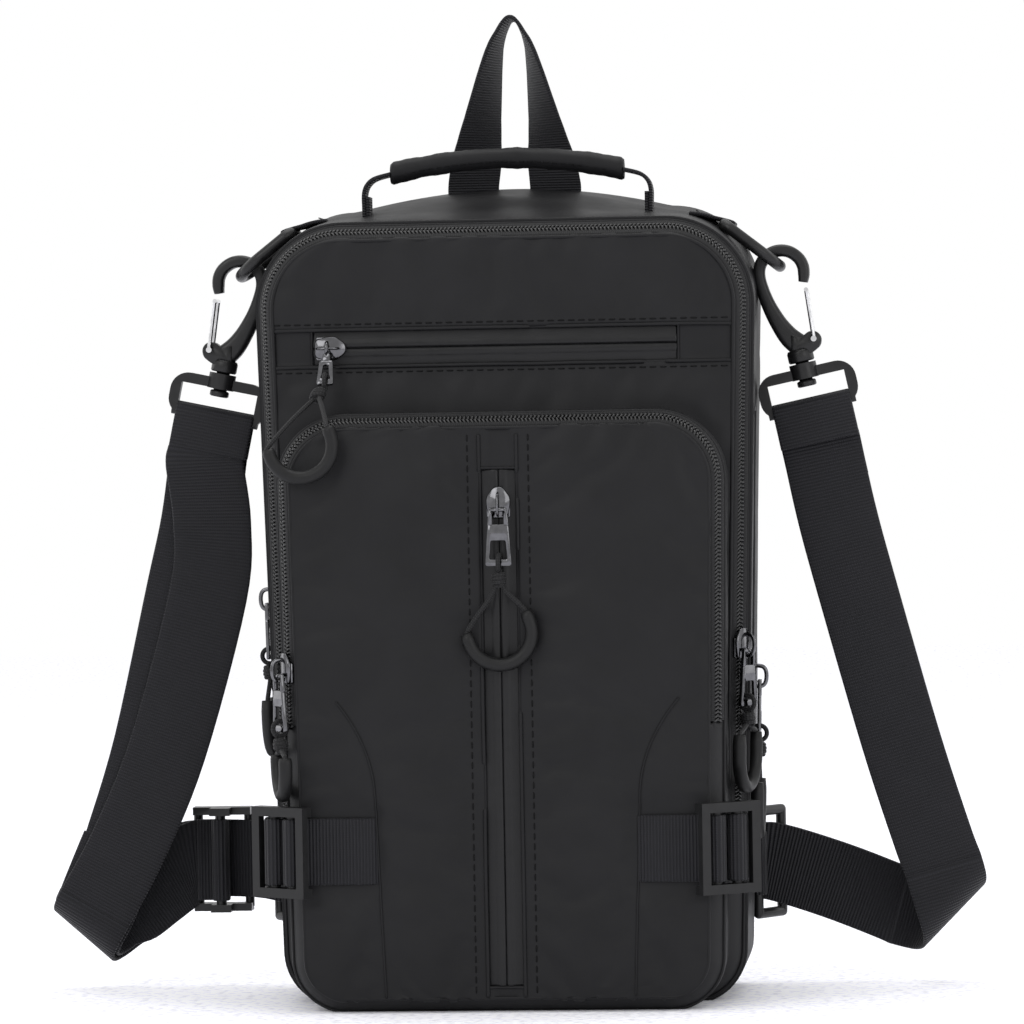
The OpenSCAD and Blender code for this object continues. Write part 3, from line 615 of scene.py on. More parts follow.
def sewn(obj, border, hold, pressure, grow, cap_mm):
    """Settles a panel held at its border and where hold(x, z, weight so far) says."""
    held = border.astype(float)
    for i, x, z in vertex_places(obj):
        held[i] = hold(x, z, held[i])
    settle(obj, held, pressure, grow, cap_mm)


def crease(x, z, seed, scale=0.02):
    """Soft uneven swell of fabric, about -1 to 1."""
    return noise.fractal(Vector((x * scale, z * scale, seed)), 0.9, 2.1, 3)


def ring_grid(lines):
    """Vertices and faces of a closed band through equal rings of points."""
    return np.vstack(lines), quads(len(lines), len(lines[0]), False, True)


def body_ring(t):
    """A ring of the main compartment's side, t from its front edge to its back edge."""
    count = 420
    flat = even(outline(MAIN, 0.0, BACK_RISE * t, mix(FRONT_H, BACK_H, t)), count)
    return np.stack([flat[:, 0], np.full(count, mix(GUSSET_Y, BACK_Y, t)), flat[:, 1]], 1)


def outward(ring):
    """Outward directions of a ring that lies in an XZ plane, base right corner first."""
    t = tangents(ring, True)
    return np.stack([t[:, 2], 0 * t[:, 0], -t[:, 0]], 1)


def gusset():
    """Sides, top and base: one sewn band, softly swollen, cut out for the side zips."""
    ts = [0, 0.02, *np.linspace(0.06, 0.94, 20), 0.98, 1]
    lines = []
    for t in ts:
        ring = body_ring(t)
        swell = 1.1 * math.sin(math.pi * t) ** 0.7
        on_base = np.clip((ring[:, 2] - 4) / 14, 0, 1)
        near_zip = np.exp(-((ring[:, 1] - SIDE_Y) / 16) ** 2)
        fold = np.array([crease(p[0] + p[1] * 1.4, p[2] * 0.8 + p[1], 3.1, 0.03) for p in ring])
        rise = (swell + 0.9 * fold * math.sin(math.pi * t)) * on_base * (1 - 0.95 * near_zip)
        lines.append(ring + outward(ring) * rise[:, None])
    verts, faces = ring_grid(lines)

    def cut(f):
        c = verts[list(f)].mean(0)
        return (abs(c[0]) > 75 and abs(c[1] - SIDE_Y) < TAPE_HALF - 0.6
                and SIDE_Z0 + 1 < c[2] < SIDE_Z1 - 1)

    obj = make("gusset_fabric", verts, [f for f in faces if not cut(f)], SHELL)
    thicken(obj, 1.5, -1)
    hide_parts("gusset", "base_panel")
    return obj


def front_panel():
    """Upper front panel with the recess for the horizontal zip."""
    hole = (ROW_X0, ROW_X1, ROW_Z - TAPE_HALF, ROW_Z + TAPE_HALF)

    def depth(x, z, u):
        dome = (1 - u * u) * math.sin(math.pi * min(max((z - 60) / 236, 0), 1)) ** 0.5
        near_zip = math.exp(-((z - ROW_Z) / 16) ** 2)
        strip = STRIP_DEPTH * (abs(z - ROW_Z) < TAPE_HALF - 0.2)
        swell = 1.6 * dome * (1 - 0.8 * near_zip) + 0.6 * crease(x, z, 7.7) * (1 - u * u)
        return PANEL_Y + 0.5 - swell + strip

    fold = [ROW_Z + s * (TAPE_HALF - 0.5) for s in (-1, 1)]
    obj, border = panel("front_panel_fabric", MAIN, 5.8, depth, SHELL, [hole], 3.2, ((), fold))

    def hold(x, z, weight):
        return 1 if abs(z - ROW_Z) < 11.5 or z < 150 and abs(x) < 78 else weight

    sewn(obj, border, hold, 1.2, 0.012, 2.5)
    smoothed(obj)
    thicken(obj, 1.2, 1)
    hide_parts("front_panel")
    return obj


def dart_x(side, z):
    """Where the curved side seam of the pocket face crosses a height."""
    top, foot = (-63, -45) if side < 0 else (67, 48)
    if z < 78:
        return mix(foot, foot + side * 3, max(z, 0) / 78)
    t = min((z - 78) / 40, 1)
    return foot + side * 3 + (top - foot - side * 3) * t ** 2.2


def under_strap(x, z):
    """How far a place on the pocket face lies under a compression strap, 0 to 1."""
    sideways = min(max((abs(x) - 44) / 5, 0), 1)
    return sideways * min(max((21 - abs(z - 61)) / 7, 0), 1)


def pocket_face():
    """Pocket face: bulging cloth held at its edge, along its zip and at its side seams."""
    hole = (-TAPE_HALF, TAPE_HALF, COL_Z0, COL_Z1)

    def depth(x, z, u):
        dome = (1 - abs(u) ** 3) * math.sin(math.pi * min(max(z / 222, 0), 1)) ** 0.55
        groove = sum(math.exp(-((x - dart_x(s, z)) / 1.3) ** 2) * (z < 117) for s in (-1, 1))
        strip = STRIP_DEPTH * (abs(u * 80) < TAPE_HALF - 0.3)
        calm = (1 - under_strap(x, z)) * (1 - 0.85 * math.exp(-(x / 19) ** 4))
        swell = (2.6 * dome + 0.75 * crease(x, z, 1.3) * (1 - u * u)) * calm
        return POCKET_Y + 0.5 - swell + 0.7 * groove + strip

    fold = [s * (TAPE_HALF - 0.5) for s in (-1, 1)]
    obj, border = panel("pocket_face_fabric", POCKET, 5.3, depth, FACE, [hole], 2.4, (fold, ()))

    def hold(x, z, weight):
        if abs(x) < 12.5:
            weight = 1
        elif z < 116 and any(abs(x - dart_x(s, z)) < 2.2 for s in (-1, 1)):
            weight = 0.9
        return max(weight, under_strap(x, z))

    sewn(obj, border, hold, 1.6, 0.014, 3.0)
    smoothed(obj)
    thicken(obj, 1.2, 1)
    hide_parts("pocket_face")
    return obj


def pocket_side():
    """Pocket gusset, from the front panel out to the pocket zip, and the flank below it."""
    lines = []
    for t in np.linspace(0, 1, 12):
        flat = even(outline(POCKET, -0.8 * math.sin(math.pi * t)), 380)
        y = mix(PANEL_Y + 0.5, POCKET["outer"][1] + 0.2, t)
        ring = np.stack([flat[:, 0], np.full(len(flat), y), flat[:, 1]], 1)
        soft = np.array([crease(p[0] + p[1] * 2, p[2], 5.2, 0.04) for p in ring])
        ring += outward(ring) * (0.5 * soft * math.sin(math.pi * t))[:, None]
        lines.append(ring)
    verts, faces = ring_grid(lines)
    side = make("pocket_side_fabric", verts, backward(faces), FACE)
    thicken(side, 1.2, 1)
    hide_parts("pocket_gusset")
    return side


def flank(name, edge, top, material):
    """Cloth that closes a zip band below the ends of its zip, round the base."""
    parts = Parts()
    verts, faces = ring_grid([band_line(edge, mix(4.9, -4.9, t), -0.5 * math.sin(math.pi * t), 420)
                              for t in np.arange(9) / 8])
    faces = [f for f in faces if verts[list(f)].mean(0)[2] < top]
    parts.add(verts, faces)
    obj = parts.piece(name, material)
    thicken(obj, 0.9, -1)
    return obj


# ---------------------------------------------------------------- seams and stitches
def depth_of(obj):
    """A function that gives the outermost Y of a piece at (x, z), looking from the front."""
    graph = bpy.context.evaluated_depsgraph_get()
    done = obj.evaluated_get(graph)

    def at(x, z, fallback):
        hit, place, _, _ = done.ray_cast(Vector((x, -150, z)) * MM, Vector((0, 1, 0)))
        return place[1] / MM if hit else fallback

    return at


def stitches(parts, line, stitch=2.7, gap=1.1, r=0.28):
    """Thread dashes along a line that already lies on the cloth."""
    line = np.asarray(line, float)
    total = np.linalg.norm(np.diff(line, axis=0), axis=1).sum()
    count = max(1, int(total / (stitch + gap)))
    fine = even(line, count * 8 + 1, closed=False)
    for k in range(count):
        dash = fine[k * 8:k * 8 + 6].copy()
        dash[0, 1] += 0.35
        dash[-1, 1] += 0.35
        sweep(parts, dash, ring_section(r, 6))


def laid(at, points, lift, fallback):
    """Points on a cloth face: (x, z) places lifted a little off it."""
    return np.array([(x, at(x, z, fallback) - lift, z) for x, z in points])


def seam_roll(name, edge, s, r, material):
    """The turned edge of cloth sewn all round beside a zip band."""
    parts = Parts()
    line = band_line(edge, s, -0.1, 520)
    wander = np.array([noise.noise(Vector(p * 0.06)) for p in line])
    line[:, 1] += 0.18 * wander
    sweep(parts, line, ring_section(r, 8, 0.8), True)
    return parts.piece(name, material)


# ---------------------------------------------------------------- zips
COIL_PITCH = 1.45


def tooth_row(parts, line, across, face, side):
    """One side of a coil: slanted rounded teeth along a track."""
    total = np.linalg.norm(np.diff(line, axis=0), axis=1).sum()
    count = int(total / COIL_PITCH)
    place = even(line, count, closed=False)
    pick = np.linspace(0, len(line) - 1, count).round().astype(int)
    along = tangents(place)
    bend = ((2.25, -0.55, -0.1), (1.6, -0.35, 0.85), (0.75, 0.1, 1.05), (-0.25, 0.45, 0.5))
    shift = 0 if side > 0 else COIL_PITCH / 2
    for k in range(count):
        a, n, t = across[pick[k]] * side, face[pick[k]], along[k]
        path = [place[k] + a * s + t * (d + shift) + n * h for s, d, h in bend]
        sweep(parts, np.array(path), ring_section(0.5, 6, 1.0), up=n)


def band_zip(name, edge, low, half):
    """Coil zip round a rounded edge: two woven tapes and two rows of teeth."""
    middle = band_line(edge, 0, 0, 600, low)
    outer = band_line(edge, 1, 0, 600, low)
    raised = band_line(edge, 0, -1, 600, low)
    across = (outer - middle) / np.linalg.norm(outer - middle, axis=1)[:, None]
    face = (raised - middle) / np.linalg.norm(raised - middle, axis=1)[:, None]
    tapes, coil = Parts(), Parts()
    run = distances(middle)
    for side in (-1, 1):
        rows = [(half, 0.1), (half * 0.75, -0.25), (half * 0.5, -0.3), (1.0, -0.1), (0.5, 0.5)]
        lines = [band_line(edge, s * side, d, 600, low) for s, d in rows]
        uvs = [(r[0], run[k]) for r in rows for k in range(600)]
        faces = quads(len(rows), 600)
        tapes.add(np.vstack(lines), faces if side < 0 else backward(faces), uvs)
        tooth_row(coil, middle, across, face, side)
    woven = tapes.piece(name + "_zip_woven_tape", TAPE)
    thicken(woven, 0.5, -1)
    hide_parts(name + "_zip_tape")
    teeth = coil.piece(name + "_zip_teeth", COIL)
    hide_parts(name + "_zip_coil")


def laminated_zip(name, origin, along, across, length, node):
    """Zip with the coil behind: two smooth taped edges that meet in a thin slit."""
    origin, along, across = (np.asarray(v, float) for v in (origin, along, across))
    profile = [(7.6, 0.0), (6.0, 0.1), (3.6, 0.15), (2.9, 0.45), (2.0, 0.75), (1.1, 0.8),
               (0.5, 0.6), (0.22, 0.1), (0.2, -0.9)]
    parts = Parts()
    rows = int(length / 0.7)
    for side in (-1, 1):
        verts, uvs = [], []
        for j in range(rows + 1):
            run = length * j / rows
            for s, h in profile:
                coil = 0.09 * math.cos(j * math.pi) * math.exp(-((s - 1.4) / 0.9) ** 2)
                slow = 0.12 * noise.noise(Vector((run * 0.09, s * 0.2, side)))
                verts.append(origin + along * run + across * side * s - BACK * (h + coil + slow))
                uvs.append((s, run))
        faces = quads(rows + 1, len(profile))
        turned = np.cross(across * side, along)[1] < 0
        parts.add(verts, faces if turned else backward(faces), uvs)
    film = parts.piece(name, FILM)
    thicken(film, 0.35, -1)
    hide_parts(node)


def side_zip_parts():
    """The two straight coil zips in the gusset, with turned cloth edges round them."""
    tapes, coil, rolls = Parts(), Parts(), Parts()
    for mirror in (-1, 1):
        up = np.array([math.sin(LEAN) * mirror, 0, math.cos(LEAN)])
        out = np.array([math.cos(LEAN) * mirror, 0, -math.sin(LEAN)])
        foot = np.array([half_width(MAIN, 0.6, SIDE_Z0) * mirror, SIDE_Y, SIDE_Z0])
        length = (SIDE_Z1 - SIDE_Z0) / math.cos(LEAN)
        line = np.array([foot + up * length * k / 200 for k in range(201)])
        for side in (-1, 1):
            rows = [(6.9, 0.0), (4.5, 0.35), (2.5, 0.3), (0.6, 0.0)]
            verts = [p + BACK * side * s + out * h for s, h in rows for p in line]
            uvs = [(row[0], length * k / 200) for row in rows for k in range(201)]
            flip = side * mirror > 0
            faces = quads(len(rows), 201)
            tapes.add(verts, backward(faces) if flip else faces, uvs)
            tooth_row(coil, line, np.tile(BACK, (201, 1)), np.tile(out, (201, 1)), side)
        corners = [(-6.6, -1), (6.6, -1), (6.6, length + 1), (-6.6, length + 1)]
        loop = []
        for (a0, l0), (a1, l1) in zip(corners, corners[1:] + corners[:1]):
            n = 60 if abs(l1 - l0) > 10 else 8
            loop += [foot + BACK * mix(a0, a1, i / n) + up * mix(l0, l1, i / n) + out * 0.9
                     for i in range(n)]
        sweep(rolls, np.array(loop), ring_section(0.9, 8), closed=True)
    woven = tapes.piece("side_zip_woven_tape", TAPE)
    thicken(woven, 0.5, 0)
    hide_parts("side_zips")
    coil.piece("side_zip_teeth", COIL)
    rolls.piece("side_zip_turned_edge", TRIM)


# ---------------------------------------------------------------- the sewn shell
def shell():
    gusset()
    front, pocket = front_panel(), pocket_face()
    pocket_side()
    flank("main_edge_cloth", MAIN, MAIN_ZIP_END, SHELL)
    flank("pocket_edge_cloth", POCKET, ZIP_END, FACE)
    band_zip("main", MAIN, MAIN_ZIP_END, 4.8)
    band_zip("pocket", POCKET, ZIP_END, 4.3)
    laminated_zip("row_zip_film", (ROW_X0, PANEL_Y + 0.9, ROW_Z), (1, 0, 0), (0, 0, 1),
                  ROW_X1 - ROW_X0, "row_zip")
    laminated_zip("column_zip_film", (0, POCKET_Y + 0.9, COL_Z0), (0, 0, 1), (1, 0, 0),
                  COL_Z1 - COL_Z0, "column_zip")
    side_zip_parts()
    rolls = (("main_outer_seam", MAIN, 5.1, 0.95, SHELL),
             ("main_inner_seam", MAIN, -5.2, 0.95, SHELL),
             ("pocket_outer_seam", POCKET, 4.7, 0.85, FACE),
             ("pocket_inner_seam", POCKET, -4.8, 0.85, FACE))
    for name, edge, s, r, material in rolls:
        seam_roll(name, edge, s, r, material)
    front_at, pocket_at = depth_of(front), depth_of(pocket)
    turned, thread = Parts(), Parts()

    def roll(at, points, fallback, r, lift=0.1, flat=1.0):
        sweep(turned, laid(at, points, lift, fallback), ring_section(r, 8, flat))

    for sign in (-1, 1):
        z = ROW_Z + sign * TAPE_HALF
        reach = half_width(MAIN, 6.5, z)
        xs = np.linspace(-reach, reach, 160)
        roll(front_at, [(x, z + 0.25 * noise.noise(Vector((x * 0.04, sign, 2)))) for x in xs],
             PANEL_Y, 0.75)
        stitches(thread, laid(front_at, [(x, z + sign * 2.1) for x in xs], 0.12, PANEL_Y))
    for x in (ROW_X0 - 0.6, ROW_X1 + 0.6):
        roll(front_at, [(x, z) for z in np.linspace(ROW_Z - TAPE_HALF, ROW_Z + TAPE_HALF, 12)],
             PANEL_Y, 0.5)
    for sign in (-1, 1):
        zs = np.linspace(POCKET["height"] - 8, 6, 240)
        roll(pocket_at, [(sign * TAPE_HALF + 0.25 * noise.noise(Vector((z * 0.03, sign, 5))), z)
                         for z in zs], POCKET_Y, 0.75)
        stitches(thread, laid(pocket_at, [(sign * 11.4, z) for z in zs], 0.12, POCKET_Y))
        roll(pocket_at, [(dart_x(sign, z), z) for z in np.linspace(117, 6, 120)], POCKET_Y,
             0.55, 0.05, 0.8)
    for z in (COL_Z0 - 0.6, COL_Z1 + 0.6):
        roll(pocket_at, [(x, z) for x in np.linspace(-TAPE_HALF, TAPE_HALF, 12)], POCKET_Y, 0.5)
    turned.piece("front_turned_edges", FACE)
    thread.piece("front_stitches", THREAD)


shell()


# ---------------------------------------------------------------- webbing
WEB_T, STRAP_W, CINCH_W, TAB_W = 1.5, 32, 25, 16
CLEAR_W = STRAP_W - 1.5  # Width of the strap where it passes through its loops
STRAP_BACK_Y, RETURN_Y, GLIDE_X, GLIDE_Z = 46, 43.2, -121, 50
BAR_R = 2.1 + WEB_T / 2
TURN_R, RETURN_TURN_R = 9, 6.2


def strip(parts, rows, width, per=4):
    """Webbing through rows [middle, direction along, direction across], run smoothly.

    Rows of a turn also hold its bend and their distance along it."""
    middles = smooth_path([r[0] for r in rows], per)
    count = len(middles)
    spread = np.linspace(0, len(rows) - 1, count)
    along, wide = (np.stack([np.interp(spread, range(len(rows)), [unit(r[k])[i] for r in rows])
                             for i in range(3)], 1) for k in (1, 2))
    run = distances(middles)
    section = band_section(width, WEB_T)
    if any(len(r) > 3 for r in rows):
        corners = section[1:] + section[:1]
        section = [tuple(np.add(p, np.subtract(q, p) * f)) for p, q in zip(section, corners)
                   for f in np.linspace(0, 1, 1 + max(1, int(math.dist(p, q) / 3)))[:-1]]
    verts, uvs = [], []
    for k in range(count):
        w = unit(wide[k])
        n = unit(np.cross(along[k], w))
        i = min(int(spread[k]), len(rows) - 2)
        if len(rows[i]) > 3 and len(rows[i + 1]) > 3:
            bend, u = rows[i][3], mix(rows[i][4], rows[i + 1][4], spread[k] - i)
            side = math.copysign(1, np.dot(bend(u, 1, 0) - bend(u, -1, 0), w))
            face = math.copysign(1, np.dot(bend(u, 0, 1) - bend(u, 0, 0), n))
            verts += [bend(u, a * side, b * face) for a, b in section]
        else:
            verts += [middles[k] + w * a + n * b for a, b in section]
        uvs += [(a, run[k]) for a, b in section]
    cols = len(section)
    parts.add(verts, quads(count, cols, False, True) + caps(count, cols), uvs)


def mirrored(rows, side):
    """Rows on the right side of the bag (1) or on its left (-1)."""
    flips = ((side, 1, 1), (side, 1, 1), (1, 1, 1))
    return [[np.multiply(part, flip) for part, flip in zip(row, flips)] for row in rows]


def along_at(points, i):
    return np.subtract(points[min(i + 1, len(points) - 1)], points[max(i - 1, 0)]).astype(float)


def route(points, sign):
    """Rows of a strap that faces the front (sign 1) or the back (sign -1)."""
    rows = []
    for i, p in enumerate(points):
        t = along_at(points, i)
        rows.append([np.array(p, float), t, sign * np.array([-t[2], 0, t[0]])])
    return rows


def turn(place, d, edge, r=TURN_R):
    """Rows of a flat strap that turns to the back round an edge, of radius r."""
    place = np.array(place)
    c = float(np.dot(d, edge))
    s = math.sqrt(1 - c * c)
    m = (d - c * edge) / s
    across = np.cross(-BACK, d)

    def bend(u, a, b):
        flat = d * u + across * a
        run = float(np.dot(flat, m))
        q = min(max(run / r, 0), math.pi)
        out, lead = math.sin(q) * m - math.cos(q) * BACK, math.cos(q) * m + math.sin(q) * BACK
        return (place + edge * np.dot(flat, edge) + BACK * r + out * (r + b)
                + lead * (run - q * r))

    rows = []
    reach = STRAP_W / 2 * abs(c) / s
    for u in np.linspace(-reach, math.pi * r / s + reach, 18):
        t = unit(bend(u + 0.2, 0, 0) - bend(u - 0.2, 0, 0))
        n = unit(bend(u, 0, 1) - bend(u, 0, 0))
        rows.append([bend(u, 0, 0), t, np.cross(n, t), bend, u])
    return rows


def lie(x, y, z, rise):
    """Row of a strap behind the bag that runs inward and rises at an angle in degrees."""
    a = math.radians(rise)
    return [np.array([x, y, z], float), np.array([-math.cos(a), 0, math.sin(a)]),
            np.array([math.sin(a), 0, math.cos(a)])]


def flip_x(rows):
    """The same rows in reverse order on the other side of the bag."""
    flipped = []
    for p, t, w, *curve in rows[::-1]:
        if curve:
            curve = [lambda u, a, b, bend=curve[0]: bend(u, a, b) * (-1, 1, 1), curve[1]]
        flipped.append([p * (-1, 1, 1), t * (1, -1, -1), w * (-1, 1, 1)] + curve)
    return flipped


def same_way(rows):
    """Rows with no sudden half turn of the strap."""
    out = [rows[0]]
    for p, t, w, *curve in rows[1:]:
        out.append([p, t, w if np.dot(unit(w), unit(out[-1][2])) > -0.2 else -w] + curve)
    return out


# Each lower turn: its place, the strap's direction and the fold's direction
RIGHT_TURN = (165, 28, 38.0), unit((0.28, 0, -0.96)), unit((-0.7, 0, -0.715))
LEFT_TURN = (171, 28, 30.0), unit((0.5, 0, -0.87)), unit((-0.751, 0, -0.66))
RETURN_TURN = (171, 30.8, 30.0), *LEFT_TURN[1:]
RIGHT_DROP = [(118.6, 8, 210.6), (124, 10, 184), (131, 13, 156), (147, 20, 96), (158.5, 26, 58)]
LEFT_DROP = [(118.6, 5.1, 210.6), (119.5, 5.8, 206), (117.5, 9, 184), (120, 13, 156),
             (138, 20, 96), (155, 25.5, 58)]
RETURN_DROP = [(118.6, 10.9, 210.6), (123, 14, 184), (130, 17, 156), (145, 23, 96),
               (158, 28, 58)]
BEHIND = [(140, STRAP_BACK_Y, 31.5), (120, STRAP_BACK_Y, 39.4), (98, STRAP_BACK_Y + 0.6, 46.4),
          (88, STRAP_BACK_Y + 1, 47), (50, STRAP_BACK_Y + 3.5, 47), (-50, STRAP_BACK_Y + 3.5, 47)]
LEFT_RUN = [(156.5, 33.4, 35), (149.5, 38.9, 36), (141, 45.8, 27), (134, GLIDE_Z, 3),
            (109, GLIDE_Z, 0), (97, 47.2, 8), (88, 47, 0)]
RETURN_RUN = [(157, 32.4, 35), (148, 39, 36), (139, 45.4, 27), (130.6, GLIDE_Z, 0)]
SWING, _ = joint_place("strap_loop_right_swing")
HANG_TILT, HANG_V, HOOK_EYE = math.radians(12), 44.6, 41.9
FOLD_Y, LOOP_BAR_DROP = 2.9, 10.5


def hung(p, side=1, direction=False):
    """A place in a snap hook's own frame, or a direction there, moved to where it hangs."""
    x, y, z = p
    if not direction:
        z -= HANG_V
    c, s = math.cos(HANG_TILT), math.sin(HANG_TILT)
    q = np.array([c * x - s * z, y, s * x + c * z])
    if not direction:
        q += SWING
    return q * (side, 1, 1)


def fold_rows(side):
    """Rows of a strap that comes up, folds round a loop's lower bar and goes down again."""
    end = -14
    local = [((0, -FOLD_Y, z), UP) for z in (end, -8, -3)]
    local += [((0, -BAR_R * math.cos(a), BAR_R * math.sin(a)), (0, math.sin(a), math.cos(a)))
              for a in np.radians((0, 30, 60, 90, 120, 150, 180))]
    local += [((0, FOLD_Y, z), -UP) for z in (-3, -8, end)]
    return [[hung((x, y, z - LOOP_BAR_DROP), side), hung(t, side, True),
             hung(ACROSS, side, True)] for (x, y, z), t in local]


def strap_piece(name, rows, width, material, per=4, body="root"):
    parts = Parts()
    strip(parts, same_way(rows), width, per=per)
    piece = parts.piece(name, material, body)
    return piece


def shoulder_strap():
    """The long adjustable strap, cut into runs that each follow at most one joint."""
    right_turn, left_turn = turn(*RIGHT_TURN), turn(*LEFT_TURN)
    tail = [[hung((0, 2.2 - 0.02 * k, -24 - 8 * k)), hung(-UP, 1, True), hung(ACROSS, 1, True)]
            for k in range(3)]
    right = strap_piece("shoulder_strap_right",
                        (route(RIGHT_DROP, 1) + right_turn)[::-1] + fold_rows(1) + tail,
                        CLEAR_W, WEBBING, 6, None)
    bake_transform(right)
    run = [lie(x, STRAP_BACK_Y, z, a) for x, z, a in LEFT_RUN]
    strap_piece("shoulder_strap_behind",
                right_turn[-1:] + route(BEHIND, -1) + flip_x(left_turn[-1:] + run),
                CLEAR_W, WEBBING)
    front = flip_x(route(LEFT_DROP, 1) + left_turn)
    rear = flip_x(route(RETURN_DROP, 1))[::-1]
    left = strap_piece("shoulder_strap_left", front + fold_rows(-1) + rear,
                       CLEAR_W, WEBBING, 6, None)
    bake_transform(left)
    rows = route(RETURN_DROP, 1)[-1:] + turn(*RETURN_TURN, RETURN_TURN_R)
    rows += [lie(x, RETURN_Y, z, a) for x, z, a in RETURN_RUN]
    ret = strap_piece("shoulder_strap_return", flip_x(rows), STRAP_W, WEBBING, 4, None)
    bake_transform(ret)
    bar = np.array([GLIDE_X, 40.3, GLIDE_Z])
    loop = [[bar + (-9.6, 2.4, 0), ACROSS, UP], [bar + (-4, 2.5, 0), ACROSS, UP]]
    for a in np.radians((90, 60, 30, 0, -30, -60, -90, -120, -150, -180, -205)):
        c, s = math.cos(a), math.sin(a)
        loop.append([bar + (BAR_R * c, BAR_R * s, 0), np.array([s, -c, 0]), UP])
    strap_piece("shoulder_strap_end_fold", loop, STRAP_W, WEBBING, 3, "tri_glide")
    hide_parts("shoulder_strap", "strap_end_right")
    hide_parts("strap_end_left")
    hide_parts("strap_return", "strap_end_glide")


def carry_loop():
    """Hanging loop whose legs rise flat from the back edge and turn edge-on at the top."""
    y, top = BACK_Y - 1, node_box("hanging_loop")[1][2] - 0.8
    legs = [(16, 309, 0), (16, 313, 0), (14.9, 321, 14), (13.5, 330, 36), (12, 339, 50),
            (10.4, 348, 60), (8.6, 358, 70), (6.6, 367, 79), (4.4, top - 5.5, 85),
            (2, top - 1.2, 88)]
    rising, falling = [], []
    for x, z, twist in legs:
        c, s = math.cos(math.radians(twist)), math.sin(math.radians(twist))
        rising.append([np.array([-x, y, z]), np.array([0.2, 0, 1.0]), np.array([c, s, 0])])
        falling.append([np.array([x, y, z]), np.array([0.2, 0, -1.0]), np.array([-c, s, 0])])
    rows = rising + [[np.array([0, y, top]), ACROSS, BACK]] + falling[::-1]
    loop = strap_piece("hanging_loop_webbing", rows, 20, FINE_WEBBING, 5, None)
    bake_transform(loop)
    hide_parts("hanging_loop")


def handle():
    """Top handle: webbing legs lapped on two sewn roots, and a padded sewn grip."""
    low, high = node_box("handle_grip")
    y, crown = (low[1] + high[1]) / 2, high[2] - 4.6
    leg_w, grip, arch_r = 11, 45.0, 200
    webbing, roots, parts, stitch = Parts(), Parts(), Parts(), Parts()
    for side in (-1, 1):
        rows = [[np.array([side * x, y, z]), np.array([side * dx, 0, dz]), BACK]
                for x, z, dx, dz in ((55.2, 298.5, 0, 1), (55.2, 304, 0, 1),
                                     (55.2, 309, -0.05, 1), (54, 312.5, -0.6, 1),
                                     (51, 315.0, -1, 0.4), (45, 316.6, -1, 0.1))]
        strip(webbing, rows, leg_w, per=5)
    legs = webbing.piece("handle_leg_webbing", FINE_WEBBING, None)
    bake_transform(legs)
    for side in (-1, 1):
        strip(roots, [[np.array([side * 53.7, y, z]), UP, BACK]
                      for z in (295, 298, 302, 306, 308)], leg_w, per=2)
    roots.piece("handle_root_webbing", FINE_WEBBING)
    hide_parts("handle_webbing", "handle_roots")
    count, around = 90, 20
    verts, uvs = [], []
    for k in range(count + 1):
        x = mix(-grip, grip, k / count)
        z = crown - arch_r + math.sqrt(arch_r ** 2 - x * x)
        taper = (1 + 0.12 * (x / grip) ** 2) * min(1, (grip - abs(x)) / 0.6 + 0.86)
        wrinkle = 0.5 * noise.noise(Vector((x * 0.14, 1, 4))) + 0.08 * math.cos(x * 1.6)
        for i in range(around):
            a = 2 * math.pi * i / around
            r = 4.3 * taper + 0.6 * wrinkle * (0.4 + abs(math.sin(a)))
            verts.append((x, y + r * 1.12 * math.cos(a), z + r * 0.92 * math.sin(a)))
            uvs.append((r * a, x))
    faces = quads(count + 1, around, False, True) + caps(count + 1, around)
    parts.add(verts, backward(faces), uvs)
    pad = parts.piece("handle_padded_grip", TRIM, "handle")
    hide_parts("handle_grip")
    seam = [(x, y - 4.6, crown - arch_r - 1.6 + math.sqrt(arch_r ** 2 - x * x))
            for x in np.linspace(-43, 43, 90)]
    stitches(stitch, seam, 2.2, 1.0, 0.25)
    stitch.piece("handle_grip_stitches", THREAD, "handle")


